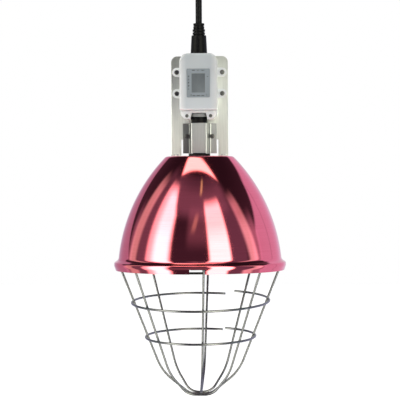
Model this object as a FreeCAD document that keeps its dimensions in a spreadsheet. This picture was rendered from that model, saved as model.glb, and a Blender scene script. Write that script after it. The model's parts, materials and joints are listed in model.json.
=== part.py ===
import FreeCAD, Part
import math
import os
from collections import namedtuple

import Sketcher
from FreeCAD import Placement, Rotation, Vector

# A hanging infrared lamp: a spun reflector with a wire guard and a screw-in bulb, held by a steel plate
# that also carries the controller box. The cord rises from the box to a ceiling flange.
# Millimetres. The origin is the middle of the ceiling face, +Z is up and -Y is the front.

SIZES = {
    # Fits and cuts
    "clearance": 0.3,
    "snug": 0.1,
    "overrun": 1,
    # Ceiling flange and cord gland
    "flange_thickness": 5,
    "flange_chamfer": 1.5,
    "flange_hole_circle": 48,
    "flange_hole_radius": 2.25,
    "flange_edge": 8,
    "boss_radius": 10,
    "boss_length": 14,
    "seal_radius": 7.2,
    "gland_nut_wall": 2.4,
    "gland_nut_gap": 1.2,
    "gland_nut_end": 6,
    "gland_nut_tip_radius": 8,
    # Supply cord and its boot
    "cord_radius": 4,
    "cord_drop": 60,
    "cord_sink": 2,
    "cord_tail": 10,
    "boot_neck_length": 14.9,
    "boot_neck_taper": 1,
    "boot_groove_depth": 1.3,
    "boot_groove_wall": 1.35,
    "boot_body_length": 23.7,
    "boot_body_taper": 1.2,
    "boot_shoulder": 1.45,
    "boot_spigot_wall": 2.9,
    "boot_lip_reach": 1.6,
    "boot_lip_thickness": 1.5,
    # Hanger plate
    "plate_offset": 14,
    "plate_side_margin": 7.15,
    "plate_top_margin": 20.35,
    "plate_thickness": 1.5,
    "plate_corner": 7.5,
    "leg_width": 12.4,
    "fork_height": 20,
    "foot_length": 13,
    "rivet_radius": 2,
    "rivet_head_radius": 3.6,
    "rivet_head_height": 1.4,
    # Controller box
    "box_rise": 45.8,
    "box_width": 44.8,
    "box_height": 81.4,
    "box_margin": 0.15,
    "box_wall": 2,
    "box_corner": 9.4,
    "box_low_corner": 8.5,
    "strip_height": 10.9,
    "ear_reach": 6.2,
    "ear_pitch": 26.7,
    "ear_rise": 46.5,
    "ear_radius": 5.75,
    "ear_thickness": 3,
    "lid_overhang": 1.1,
    "lid_depth": 10.5,
    "lid_corner": 10.5,
    "lid_low_corner": 2.5,
    "lid_round": 2.2,
    "lid_seal_thickness": 1,
    "cover_thickness": 3,
    "cover_round": 1.2,
    "cover_notch_foot": 21.6,
    "cover_notch_top": 17.4,
    "cover_notch_height": 7.9,
    "cover_screw_rise": 4.2,
    "cover_screw_radius": 1.2,
    "cover_screw_head_radius": 2.1,
    "cover_screw_head_height": 1,
    "cover_screw_length": 10,
    "cover_post_radius": 3.2,
    "cover_post_gap": 1.2,
    # Display
    "bezel_rise": 44.5,
    "bezel_width": 28.7,
    "bezel_height": 35.5,
    "bezel_corner": 1.5,
    "bezel_thickness": 1.2,
    "bezel_ledge": 2.2,
    "glass_width": 16.4,
    "glass_height": 23.4,
    "glass_recess": 0.3,
    "module_depth": 4,
    # Circuit board
    "board_side_gap": 1.4,
    "board_top_gap": 10.4,
    "board_thickness": 1.6,
    "board_low_gap": 2.1,
    "board_post_radius": 2.6,
    "board_post_height": 2.4,
    "board_post_inset": 3.4,
    "board_screw_radius": 1,
    "board_screw_head_radius": 1.9,
    "board_screw_head_height": 1.2,
    "board_screw_length": 3.6,
    "relay_width": 15.5,
    "relay_depth": 15,
    "relay_height": 19,
    "supply_width": 14,
    "supply_depth": 13,
    "supply_height": 20,
    "terminal_width": 25,
    "terminal_depth": 9,
    "terminal_height": 10,
    "terminal_hole_radius": 1.7,
    "component_gap": 3,
    # Screws and nuts through the hanger plate
    "screw_radius": 1.9,
    "screw_head_radius": 2.9,
    "screw_head_height": 1.8,
    "nut_radius": 4,
    "nut_height": 3.2,
    "screw_proud": 0.8,
    # Lamp lead, its boot and the clamp bracket
    "lead_radius": 3.5,
    "lead_tail": 20,
    "outlet_foot_radius": 9.15,
    "outlet_top_radius": 8.3,
    "outlet_height": 4.3,
    "lamp_boot_radius": 10.2,
    "lamp_boot_entry": 3.2,
    "lamp_boot_chamfer": 1.2,
    "tube_radius": 8,
    "clamp_ring_gap": 0.4,
    "clamp_box_gap": 4.4,
    "clamp_wall": 1.5,
    "clamp_side_gap": 0.2,
    "clamp_spread": 2.5,
    "clamp_screw_gap": 0.7,
    "clamp_edge": 2.25,
    "clamp_screw_rise": 25.4,
    "ring_radius": 13.5,
    "ring_height": 3.4,
    # Reflector
    "bowl_sheet": 0.8,
    "bowl_top_radius": 42,
    "bowl_arc_radius": 212,
    "bowl_wall_radius": 102,
    "bowl_wall_height": 128,
    "rim_flare": 5.5,
    "rim_drop": 7,
    "lip_turn": 2,
    "lip_drop": 6.8,
    "lip_notch_width": 18.4,
    "lip_notch_height": 5.6,
    "lip_notch_offset": 1.2,
    "lip_notch_reach": 12,
    # Lampholder
    "holder_neck_radius": 10.5,
    "holder_neck_rise": 2.4,
    "holder_roof": 6,
    "holder_wall": 6.6,
    "holder_round": 3,
    "thread_gap": 0.4,
    "shell_wall": 0.7,
    "shell_height": 22,
    "contact_radius": 5,
    "contact_thickness": 1.2,
    # Bulb
    "button_radius": 4.5,
    "button_height": 1.8,
    "cap_radius": 13.2,
    "cap_top_radius": 9,
    "cap_cone_height": 4,
    "cap_length": 23,
    "cap_proud": 1.3,
    "cap_wall": 0.6,
    "cap_overlap": 10,
    "bulb_wall": 2.4,
    "bulb_radius": 60.5,
    "bulb_cup_height": 82,
    "bulb_cup_arc_radius": 105,
    "bulb_rim_height": 5,
    "lens_crown": 7,
    "lens_arc_radius": 270,
    "filament_radius": 0.8,
    "filament_width": 12,
    "filament_drop": 45,
    # Wire guard
    "wire_radius": 1.4,
    "guard_foot_length": 15.5,
    "guard_foot_bend": 3,
    "guard_leg_inset": 5.4,
    "guard_depth": 161.6,
    "guard_knee_drop": 133.7,
    "guard_knee_bend": 60,
    "guard_bottom_bend": 18,
    "guard_cross_reach": 13,
    "guard_bow_reach": 20,
    "guard_ring_upper_drop": 48.4,
    "guard_ring_upper_climb": 4,
    "guard_ring_upper_dip": 6.3,
    "guard_ring_lower_drop": 90.9,
    "guard_ring_lower_climb": 1.8,
    "guard_ring_lower_dip": 3.8,
}

# Heights of the boot's grooves, as shares of its neck.
BOOT_GROOVE_SHARES = [(0.14, 0.3), (0.43, 0.59), (0.72, 0.88)]

# How far the inner corners of the bent sheet lie from the outer ones, as shares of its thickness.
BOWL_CORNER_SHARE = 0.414
BOWL_FOLD_SHARE = 1.2

# A pan head's flat top, as a share of its radius.
HEAD_TOP_SHARE = 0.72

# How far the guard's legs lean inwards, as a share of their drop.
GUARD_LEG_LEAN_SHARE = 0.397

# Where the two legs of each guard wire stand, in degrees from the front towards the right.
GUARD_SIDE_ANGLES = (92.3, 272.3)
GUARD_FORE_AFT_ANGLES = (5, 176.3)
GUARD_BOW_FRONT_ANGLES = (50, 310.3)
GUARD_BOW_BACK_ANGLES = (140.3, 222.3)

# Where each guard ring starts and how far it runs, in degrees from the front towards the right.
GUARD_RING_UPPER_SPAN = (160.7, 351.6)
GUARD_RING_LOWER_SPAN = (158.3, 357)
GUARD_RING_ARCS = 8

Disc = namedtuple("Disc", "across up radius")


class Size:
    """A length with its sheet formula, so that a sum is written once and stays tied to the sheet."""

    def __init__(self, value, formula):
        self.value = value
        self.formula = formula

    def __add__(self, other):
        other = as_size(other)
        return Size(self.value + other.value, f"({self.formula} + {other.formula})")

    def __radd__(self, other):
        return as_size(other) + self

    def __sub__(self, other):
        other = as_size(other)
        return Size(self.value - other.value, f"({self.formula} - {other.formula})")

    def __rsub__(self, other):
        return as_size(other) - self

    def __mul__(self, other):
        other = as_size(other)
        return Size(self.value * other.value, f"({self.formula} * {other.formula})")

    def __rmul__(self, other):
        return as_size(other) * self

    def __truediv__(self, other):
        other = as_size(other)
        return Size(self.value / other.value, f"({self.formula} / {other.formula})")

    def __neg__(self):
        return Size(-self.value, f"(-1 * {self.formula})")


def as_size(length):
    """Gives a plain number the form of a Size."""
    return length if isinstance(length, Size) else Size(length, str(length))


class Sheet:
    """The document's spreadsheet: each driving dimension is read as an attribute."""

    def __init__(self, document, sizes):
        self.cells = document.addObject("Spreadsheet::Sheet", "Sizes")
        for row, (name, value) in enumerate(sizes.items(), start=1):
            self.cells.set(f"A{row}", name)
            self.cells.set(f"B{row}", str(value))
            self.cells.setAlias(f"B{row}", name)
        document.recompute()

    def __getattr__(self, name):
        return Size(float(getattr(self.cells, name)), f"Sizes.{name}")


doc = FreeCAD.newDocument("infrared_lamp")
size = Sheet(doc, SIZES)
nodes = {}


def bind(item, **formulas):
    """Ties properties of an object to the sheet; a double underscore stands for a dot."""
    for name, length in formulas.items():
        item.setExpression(name.replace("__", "."), as_size(length).formula)


def place(item, x=0, y=0, z=0):
    """Ties an object's place to the sheet."""
    bind(item, Placement__Base__x=x, Placement__Base__y=y, Placement__Base__z=z)
    return item


def node(item, label):
    """Names an object as a finished piece of the lamp."""
    item.Label = label
    nodes[label] = item
    return item


# Sketched pieces

def pin(sketch, shape, point, across, up):
    """Fixes a point of a sketch by two formulas, or on an axis where a formula is zero."""
    for kind, axis, length in (("DistanceX", -2, as_size(across)), ("DistanceY", -1, as_size(up))):
        if length.formula == "0":
            sketch.addConstraint(Sketcher.Constraint("PointOnObject", shape, point, axis))
        else:
            index = sketch.addConstraint(Sketcher.Constraint(kind, -1, 1, shape, point, length.value))
            sketch.setExpression(f"Constraints[{index}]", length.formula)


def draw_disc(sketch, disc):
    """Adds a circle to a sketch."""
    centre = Vector(as_size(disc.across).value, as_size(disc.up).value, 0)
    circle = sketch.addGeometry(Part.Circle(centre, Vector(0, 0, 1), disc.radius.value), False)
    pin(sketch, circle, 3, disc.across, disc.up)
    index = sketch.addConstraint(Sketcher.Constraint("Radius", circle, disc.radius.value))
    sketch.setExpression(f"Constraints[{index}]", disc.radius.formula)


def draw_outline(sketch, corners):
    """Adds a closed outline. A corner is (across, up), with a third entry where the next edge is round: the
    radius of the arc that leaves it, positive where that arc turns left, negative where it turns right."""
    points = [Vector(as_size(corner[0]).value, as_size(corner[1]).value, 0) for corner in corners]
    edges = []
    for corner, start, end in zip(corners, points, points[1:] + points[:1]):
        if len(corner) == 2:
            edges.append((sketch.addGeometry(Part.LineSegment(start, end), False), 1, 2))
            continue
        radius = abs(corner[2].value)
        chord = end - start
        left = Vector(-chord.y, chord.x, 0).normalize()
        side = math.copysign(math.sqrt(radius ** 2 - (chord.Length / 2) ** 2), corner[2].value)
        centre = (start + end) / 2 + left * side
        turns_left = corner[2].value > 0
        first, last = (start, end) if turns_left else (end, start)
        angles = [math.atan2(point.y - centre.y, point.x - centre.x) for point in (first, last)]
        arc = Part.ArcOfCircle(Part.Circle(centre, Vector(0, 0, 1), radius), *angles)
        edge = sketch.addGeometry(arc, False)
        edges.append((edge, 1, 2) if turns_left else (edge, 2, 1))
        formula = corner[2].formula if turns_left else (-corner[2]).formula
        index = sketch.addConstraint(Sketcher.Constraint("Radius", edge, radius))
        sketch.setExpression(f"Constraints[{index}]", formula)
    for corner, before, edge in zip(corners, edges[-1:] + edges[:-1], edges):
        sketch.addConstraint(Sketcher.Constraint("Coincident", before[0], before[2], edge[0], edge[1]))
        pin(sketch, edge[0], edge[1], corner[0], corner[1])


def new_sketch(body, role, start, drawings):
    """Makes a sketch on one of the body's own planes, moved along the plane's normal to its start."""
    plane = next(feature for feature in body.Origin.OriginFeatures if feature.Role == role)
    sketch = body.newObject("Sketcher::SketchObject", f"{body.Name}_sketch")
    sketch.AttachmentSupport = [(plane, "")]
    sketch.MapMode = "FlatFace"
    bind(sketch, AttachmentOffset__Base__z=start)
    for drawing in drawings:
        if isinstance(drawing, Disc):
            draw_disc(sketch, drawing)
        else:
            draw_outline(sketch, drawing)
    return sketch


def new_body(label, level):
    """Starts a sketched piece whose own zero height is the given level."""
    body = doc.addObject("PartDesign::Body", label)
    return node(place(body, z=level), label)


def add(body, role, start, depth, *drawings):
    """Adds material from a start along the plane's normal: forwards on XZ_Plane, upwards on XY_Plane."""
    pad = body.newObject("PartDesign::Pad", f"{body.Name}_pad")
    pad.Profile = new_sketch(body, role, start, drawings)
    bind(pad, Length=depth)
    doc.recompute()
    return pad


def cut(body, role, start, depth, *drawings):
    """Takes material away from a start along the plane's normal, and makes sure that it took some."""
    volume = body.Shape.Volume
    pocket = body.newObject("PartDesign::Pocket", f"{body.Name}_pocket")
    pocket.Profile = new_sketch(body, role, start, drawings)
    pocket.Reversed = True
    bind(pocket, Length=depth)
    doc.recompute()
    if body.Shape.Volume >= volume:
        raise ValueError(f"{body.Label}: a cut took nothing away")
    return pocket


def turned(label, level, corners):
    """Makes a piece by turning an outline of (radius, height) corners about the lamp's axis."""
    body = new_body(label, level)
    revolution = body.newObject("PartDesign::Revolution", f"{label}_turn")
    sketch = new_sketch(body, "XZ_Plane", 0, [corners])
    revolution.Profile = sketch
    revolution.ReferenceAxis = (sketch, ["V_Axis"])
    revolution.Angle = 360
    doc.recompute()
    return body


def block(left, right, low, high):
    """The outline of a plain rectangle."""
    return [(left, low), (right, low), (right, high), (left, high)]


def rounded_block(half, low, high, low_round, high_round):
    """The outline of a rectangle about the middle, with its lower and its upper corners rounded."""
    return [
        (-(half - low_round), low),
        (half - low_round, low, low_round),
        (half, low + low_round),
        (half, high - high_round, high_round),
        (half - high_round, high),
        (-(half - high_round), high, high_round),
        (-half, high - high_round),
        (-half, low + low_round, low_round),
    ]


def round_front_edges(body, front, radius):
    """Rounds the edges of a piece's front face, which lies at the given place along Y."""
    base = body.Tip
    names = [
        f"Edge{number}" for number, edge in enumerate(base.Shape.Edges, start=1)
        if math.isclose(edge.BoundBox.YMin, front.value, abs_tol=size.snug.value)
        and math.isclose(edge.BoundBox.YMax, front.value, abs_tol=size.snug.value)
    ]
    fillet = body.newObject("PartDesign::Fillet", f"{body.Name}_round")
    fillet.Base = (base, names)
    bind(fillet, Radius=radius)
    doc.recompute()


# Pieces made of plain solids

def cylinder(x, y, z, radius, height, forwards=False):
    """A cylinder from a point upwards, or towards the front."""
    solid = doc.addObject("Part::Cylinder", "cylinder")
    solid.Placement = Placement(Vector(), Rotation(Vector(1, 0, 0), 90 if forwards else 0))
    bind(solid, Radius=radius, Height=height)
    return place(solid, x, y, z)


def cone(x, y, z, start_radius, end_radius, height, forwards=False):
    """A truncated cone from a point upwards, or towards the front."""
    solid = doc.addObject("Part::Cone", "cone")
    solid.Placement = Placement(Vector(), Rotation(Vector(1, 0, 0), 90 if forwards else 0))
    bind(solid, Radius1=start_radius, Radius2=end_radius, Height=height)
    return place(solid, x, y, z)


def hexagon(x, y, z, radius, height, forwards=False):
    """A hexagonal bar from a point upwards, or towards the front."""
    solid = doc.addObject("Part::Prism", "hexagon")
    solid.Polygon = 6
    solid.Placement = Placement(Vector(), Rotation(Vector(1, 0, 0), 90 if forwards else 0))
    bind(solid, Circumradius=radius, Height=height)
    return place(solid, x, y, z)


def brick(x, y, z, width, depth, height):
    """A box from its lowest left front corner."""
    solid = doc.addObject("Part::Box", "brick")
    bind(solid, Length=width, Width=depth, Height=height)
    return place(solid, x, y, z)


def fused(*solids):
    """Joins solids into one."""
    joined = doc.addObject("Part::MultiFuse", "fused")
    joined.Shapes = list(solids)
    return joined


def drilled(base, *tools):
    """Takes solids away from another."""
    for tool in tools:
        result = doc.addObject("Part::Cut", "drilled")
        result.Base = base
        result.Tool = tool
        base = result
    return base


def group(label, solids):
    """Keeps like fasteners together as one node of separate solids."""
    compound = doc.addObject("Part::Compound", label)
    compound.Links = list(solids)
    return node(compound, label)


def pan_screw(x, y, z, radius, length, head_radius, head_height):
    """A screw that faces the front: its head's underside is at the given point."""
    shank = cylinder(x, y + length, z, radius, length, forwards=True)
    head = cone(x, y, z, head_radius, head_radius * HEAD_TOP_SHARE, head_height, forwards=True)
    return fused(shank, head)


# Heights and places that several pieces share

gland_low = -(size.flange_thickness + size.boss_length + size.gland_nut_end)
boot_top = gland_low - size.cord_drop
box_top = boot_top - size.boot_neck_length - size.boot_body_length
box_low = box_top - size.box_height
bowl_top = box_low - size.box_rise

cord_hole = size.cord_radius + size.snug
screw_hole = size.screw_radius + size.snug
lead_hole = size.lead_radius + size.snug
boot_tip_radius = cord_hole + size.boot_groove_wall + size.boot_groove_depth
boot_neck_foot_radius = boot_tip_radius + size.boot_neck_taper
boot_shoulder_radius = boot_neck_foot_radius + size.boot_shoulder
boot_foot_radius = boot_shoulder_radius + size.boot_body_taper
boot_spigot_radius = cord_hole + size.boot_spigot_wall
box_half = size.box_width / 2
box_front = boot_foot_radius + size.box_margin
box_depth = box_front + size.plate_offset
ear_x = box_half + size.ear_reach
ear_heights = [size.ear_rise - size.ear_pitch / 2, size.ear_rise + size.ear_pitch / 2]
ear_places = [(side * ear_x, height) for side in (-1, 1) for height in ear_heights]
clamp_rise = size.ring_height + size.clamp_ring_gap
clamp_height = size.box_rise - size.clamp_box_gap - clamp_rise
clamp_inside_y = -(size.tube_radius + size.clearance)
clamp_front_half = size.clamp_wall + size.clamp_side_gap - clamp_inside_y
clamp_foot_half = clamp_front_half + size.clamp_spread
clamp_screw_x = clamp_foot_half + size.clamp_screw_gap + size.screw_head_radius
clamp_half = clamp_screw_x + size.screw_head_radius + size.clamp_edge
clamp_places = [(side * clamp_screw_x, size.clamp_screw_rise) for side in (-1, 1)]


# Ceiling flange with its threaded boss, the cord seal and the gland nut

flange_low = -size.flange_thickness
boss_low = flange_low - size.boss_length
flange_radius = size.flange_hole_circle / 2 + size.flange_edge

ceiling_flange = turned("ceiling_flange", 0, [
    (cord_hole, 0),
    (flange_radius, 0),
    (flange_radius, flange_low + size.flange_chamfer),
    (flange_radius - size.flange_chamfer, flange_low),
    (size.boss_radius, flange_low),
    (size.boss_radius, boss_low),
    (size.seal_radius + size.snug, boss_low),
    (size.seal_radius + size.snug, flange_low),
    (cord_hole, flange_low),
])
flange_hole = cut(
    ceiling_flange, "XY_Plane", flange_low - size.overrun, size.flange_thickness + 2 * size.overrun,
    Disc(0, size.flange_hole_circle / 2, size.flange_hole_radius))
flange_holes = ceiling_flange.newObject("PartDesign::PolarPattern", "flange_holes")
flange_holes.Originals = [flange_hole]
flange_holes.Axis = (flange_hole.Profile[0], ["N_Axis"])
flange_holes.Angle = 360
flange_holes.Occurrences = 3
ceiling_flange.Tip = flange_holes

turned("gland_seal", 0, [
    (cord_hole, flange_low),
    (cord_hole, boss_low),
    (size.seal_radius, boss_low),
    (size.seal_radius, flange_low),
])

nut_flat = size.boss_radius + size.gland_nut_wall
nut_body = fused(
    hexagon(0, 0, boss_low, nut_flat / math.cos(math.pi / 6), size.boss_length - size.gland_nut_gap),
    cone(0, 0, gland_low, size.gland_nut_tip_radius, nut_flat, size.gland_nut_end))
node(drilled(
    nut_body,
    cylinder(0, 0, boss_low, size.boss_radius + size.snug, size.boss_length),
    cylinder(0, 0, gland_low - size.overrun, cord_hole, size.gland_nut_end + 2 * size.overrun),
), "gland_nut")


# Supply cord and the ribbed boot on top of the box

cord_low = box_top - size.cord_tail
node(cylinder(0, 0, cord_low, size.cord_radius, -size.cord_sink - cord_low), "supply_cord")

boot_lip_low = -(size.box_wall + size.boot_lip_thickness)
boot_height = size.boot_body_length + size.boot_neck_length


def boot_neck_point(share, depth=0):
    """A point at a share of the boot's neck, on its tapered outside or a depth below it."""
    radius = boot_neck_foot_radius - size.boot_neck_taper * share - depth
    return radius, size.boot_body_length + size.boot_neck_length * share


boot_neck = []
for low_share, high_share in BOOT_GROOVE_SHARES:
    boot_neck += [
        boot_neck_point(low_share),
        boot_neck_point(low_share, size.boot_groove_depth),
        boot_neck_point(high_share, size.boot_groove_depth),
        boot_neck_point(high_share),
    ]
turned("supply_boot", box_top, [
    (cord_hole, boot_lip_low),
    (boot_spigot_radius + size.boot_lip_reach, boot_lip_low),
    (boot_spigot_radius + size.boot_lip_reach, -size.box_wall),
    (boot_spigot_radius, -size.box_wall),
    (boot_spigot_radius, 0),
    (boot_foot_radius, 0),
    (boot_shoulder_radius, size.boot_body_length),
    (boot_neck_foot_radius, size.boot_body_length),
    *boot_neck,
    (boot_tip_radius, boot_height),
    (cord_hole, boot_height),
])


# Steel hanger plate with its forked legs, whose bent feet are riveted to the reflector

plate_half = ear_x + size.plate_side_margin
plate_height = size.box_rise + ear_heights[-1] + size.plate_top_margin
leg_inside = plate_half - size.leg_width
plate_back = size.plate_offset + size.plate_thickness
foot_front = size.plate_offset - size.foot_length
rivet_x = plate_half - size.leg_width / 2
rivet_y = size.plate_offset - size.foot_length / 2
rivet_holes = [Disc(side * rivet_x, rivet_y, size.rivet_radius + size.snug) for side in (-1, 1)]

hanger_plate = new_body("hanger_plate", bowl_top)
add(hanger_plate, "XZ_Plane", -plate_back, size.plate_thickness, [
    (-plate_half, 0),
    (-leg_inside, 0),
    (-leg_inside, size.fork_height),
    (leg_inside, size.fork_height),
    (leg_inside, 0),
    (plate_half, 0),
    (plate_half, plate_height - size.plate_corner, size.plate_corner),
    (plate_half - size.plate_corner, plate_height),
    (-(plate_half - size.plate_corner), plate_height, size.plate_corner),
    (-plate_half, plate_height - size.plate_corner),
])
add(hanger_plate, "XY_Plane", 0, size.plate_thickness,
    block(-plate_half, -leg_inside, foot_front, plate_back),
    block(leg_inside, plate_half, foot_front, plate_back))
cut(hanger_plate, "XZ_Plane", -(plate_back + size.overrun), size.plate_thickness + 2 * size.overrun,
    *[Disc(x, size.box_rise + z, screw_hole) for x, z in ear_places],
    *[Disc(x, z, screw_hole) for x, z in clamp_places])
cut(hanger_plate, "XY_Plane", -size.overrun, size.plate_thickness + 2 * size.overrun, *rivet_holes)

rivets = []
for side in (-1, 1):
    x = side * rivet_x
    foot_top = bowl_top + size.plate_thickness
    sheet_low = bowl_top - size.bowl_sheet
    rivets.append(fused(
        cylinder(x, rivet_y, sheet_low, size.rivet_radius, size.plate_thickness + size.bowl_sheet),
        cone(x, rivet_y, foot_top, size.rivet_head_radius, size.rivet_head_radius * HEAD_TOP_SHARE,
             size.rivet_head_height),
        cone(x, rivet_y, sheet_low - size.rivet_head_height, size.rivet_head_radius * HEAD_TOP_SHARE,
             size.rivet_head_radius, size.rivet_head_height)))
group("foot_rivets", rivets)


# Controller box: a base with four ears, a lower terminal chamber and posts for its board and cover

box_inside = size.box_wall - size.plate_offset
divider_top = size.strip_height + size.box_wall
lamp_boot_hole = size.lamp_boot_radius + size.snug
cover_screw_x = lamp_boot_hole + size.cover_post_gap + size.cover_post_radius
cover_screw_hole = size.cover_screw_radius + size.snug
cover_holes = [Disc(side * cover_screw_x, size.cover_screw_rise, cover_screw_hole) for side in (-1, 1)]
board_half = box_half - size.box_wall - size.board_side_gap
board_low = divider_top + size.board_low_gap
board_high = size.box_height - size.box_wall - size.board_top_gap
post_x = board_half - size.board_post_inset
post_heights = (board_low + size.board_post_inset, board_high - size.board_post_inset)
post_places = [(side * post_x, height) for side in (-1, 1) for height in post_heights]
wall_cut = size.box_wall + 2 * size.overrun

controller_base = new_body("controller_base", box_low)
add(controller_base, "XZ_Plane", -size.plate_offset, box_depth,
    rounded_block(box_half, 0, size.box_height, size.box_low_corner, size.box_corner))
cavity_depth = box_depth - size.box_wall + size.overrun
cut(controller_base, "XZ_Plane", box_inside, cavity_depth,
    rounded_block(box_half - size.box_wall, divider_top, size.box_height - size.box_wall,
                  size.box_wall, size.box_corner - size.box_wall))
cut(controller_base, "XZ_Plane", box_inside, cavity_depth,
    rounded_block(box_half - size.box_wall, size.box_wall, size.strip_height,
                  size.box_low_corner - size.box_wall, size.box_wall))
add(controller_base, "XZ_Plane", box_inside, box_depth - size.box_wall,
    *[Disc(side * cover_screw_x, size.cover_screw_rise, size.cover_post_radius) for side in (-1, 1)])
add(controller_base, "XZ_Plane", box_inside, size.board_post_height,
    *[Disc(x, z, size.board_post_radius) for x, z in post_places])
for x, z in ear_places:
    wall_x = math.copysign(1, x.value) * (box_half - size.box_wall)
    add(controller_base, "XZ_Plane", -size.plate_offset, size.ear_thickness,
        block(wall_x, x, z - size.ear_radius, z + size.ear_radius))
add(controller_base, "XZ_Plane", -size.plate_offset, size.ear_thickness,
    *[Disc(x, z, size.ear_radius) for x, z in ear_places])
cut(controller_base, "XZ_Plane", -size.plate_offset - size.overrun, size.ear_thickness + 2 * size.overrun,
    *[Disc(x, z, screw_hole) for x, z in ear_places])
cut(controller_base, "XZ_Plane", box_inside, size.board_post_height + size.overrun,
    *[Disc(x, z, size.board_screw_radius + size.snug) for x, z in post_places])
cut(controller_base, "XZ_Plane", box_front - size.cover_screw_length,
    size.cover_screw_length + size.overrun, *cover_holes)
cut(controller_base, "XY_Plane", size.box_height - size.box_wall - size.overrun, wall_cut,
    Disc(0, 0, boot_spigot_radius + size.snug))
cut(controller_base, "XY_Plane", size.strip_height - size.overrun, wall_cut, Disc(0, 0, lead_hole))
cut(controller_base, "XY_Plane", -size.overrun, wall_cut, Disc(0, 0, lamp_boot_hole))
cut(controller_base, "XY_Plane", -size.overrun, wall_cut,
    block(-lamp_boot_hole, lamp_boot_hole, -(box_front + size.overrun), 0))


# Cover of the terminal chamber, with a notch over the lamp lead's outlet

cover_top = size.strip_height - size.snug
terminal_cover = new_body("terminal_cover", box_low)
add(terminal_cover, "XZ_Plane", box_front, size.cover_thickness, [
    (-(box_half - size.box_low_corner), 0),
    (-(size.cover_notch_foot / 2), 0),
    (-(size.cover_notch_top / 2), size.cover_notch_height),
    (size.cover_notch_top / 2, size.cover_notch_height),
    (size.cover_notch_foot / 2, 0),
    (box_half - size.box_low_corner, 0, size.box_low_corner),
    (box_half, size.box_low_corner),
    (box_half, cover_top),
    (-box_half, cover_top),
    (-box_half, size.box_low_corner, size.box_low_corner),
])
round_front_edges(terminal_cover, -(box_front + size.cover_thickness), size.cover_round)
cut(terminal_cover, "XZ_Plane", box_front - size.overrun, size.cover_thickness + 2 * size.overrun,
    *cover_holes)

group("cover_screws", [
    pan_screw(side * cover_screw_x, -(box_front + size.cover_thickness), box_low + size.cover_screw_rise,
              size.cover_screw_radius, size.cover_screw_length, size.cover_screw_head_radius,
              size.cover_screw_head_height)
    for side in (-1, 1)])


# Lid with its seal, and the display set into its front

lid_back = box_front + size.lid_seal_thickness
lid_front = lid_back + size.lid_depth
lid_half = box_half + size.lid_overhang
bezel_back = lid_front - size.bezel_thickness
bezel_half = size.bezel_width / 2
bezel_low = size.bezel_rise - size.bezel_height / 2
bezel_high = size.bezel_rise + size.bezel_height / 2
window_half = bezel_half - size.bezel_ledge
window_low = bezel_low + size.bezel_ledge
window_high = bezel_high - size.bezel_ledge
glass_half = size.glass_width / 2
glass_low = size.bezel_rise - size.glass_height / 2
glass_high = size.bezel_rise + size.glass_height / 2

controller_lid = new_body("controller_lid", box_low)
add(controller_lid, "XZ_Plane", lid_back, size.lid_depth,
    rounded_block(lid_half, size.strip_height, size.box_height, size.lid_low_corner, size.lid_corner))
round_front_edges(controller_lid, -lid_front, size.lid_round)
cut(controller_lid, "XZ_Plane", lid_back - size.overrun, size.lid_depth - size.box_wall + size.overrun,
    rounded_block(lid_half - size.box_wall, divider_top, size.box_height - size.box_wall,
                  size.lid_low_corner, size.lid_corner - size.box_wall))
cut(controller_lid, "XZ_Plane", bezel_back, size.bezel_thickness + size.overrun,
    rounded_block(bezel_half + size.snug, bezel_low - size.snug, bezel_high + size.snug,
                  size.bezel_corner, size.bezel_corner))
cut(controller_lid, "XZ_Plane", lid_back, size.lid_depth + size.overrun,
    block(-window_half, window_half, window_low, window_high))

seal_half = box_half - size.snug
seal_low = size.strip_height + size.snug
seal_high = size.box_height - size.snug
seal_band = size.box_wall - 2 * size.snug
lid_seal = new_body("lid_seal", box_low)
add(lid_seal, "XZ_Plane", box_front, size.lid_seal_thickness,
    rounded_block(seal_half, seal_low, seal_high, size.box_wall, size.box_corner),
    rounded_block(seal_half - seal_band, seal_low + seal_band, seal_high - seal_band,
                  size.box_wall - size.snug, size.box_corner - seal_band))

display_bezel = new_body("display_bezel", box_low)
add(display_bezel, "XZ_Plane", bezel_back, size.bezel_thickness,
    rounded_block(bezel_half, bezel_low, bezel_high, size.bezel_corner, size.bezel_corner),
    block(-(glass_half + size.snug), glass_half + size.snug, glass_low - size.snug, glass_high + size.snug))

display_glass = new_body("display_glass", box_low)
add(display_glass, "XZ_Plane", bezel_back, size.bezel_thickness - size.glass_recess,
    block(-glass_half, glass_half, glass_low, glass_high))

module_half = window_half - size.snug
node(brick(-module_half, -bezel_back, box_low + window_low + size.snug,
           2 * module_half, size.module_depth, window_high - window_low - 2 * size.snug), "display_module")


# Circuit board on its posts, with the relay, the power supply and the terminal block

board_back = box_inside + size.board_post_height
board_front = board_back + size.board_thickness
component_low = board_low + 2 * size.board_post_inset
terminal_low = component_low + size.supply_height + size.component_gap

circuit_board = new_body("circuit_board", box_low)
add(circuit_board, "XZ_Plane", board_back, size.board_thickness,
    block(-board_half, board_half, board_low, board_high),
    *[Disc(x, z, size.board_screw_radius + size.snug) for x, z in post_places])

group("board_screws", [
    pan_screw(x, -board_front, box_low + z, size.board_screw_radius, size.board_screw_length,
              size.board_screw_head_radius, size.board_screw_head_height)
    for x, z in post_places])

node(brick(-(size.relay_width + size.component_gap / 2), -(board_front + size.relay_depth),
           box_low + component_low, size.relay_width, size.relay_depth, size.relay_height), "power_relay")
node(brick(size.component_gap / 2, -(board_front + size.supply_depth), box_low + component_low,
           size.supply_width, size.supply_depth, size.supply_height), "power_supply")

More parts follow.
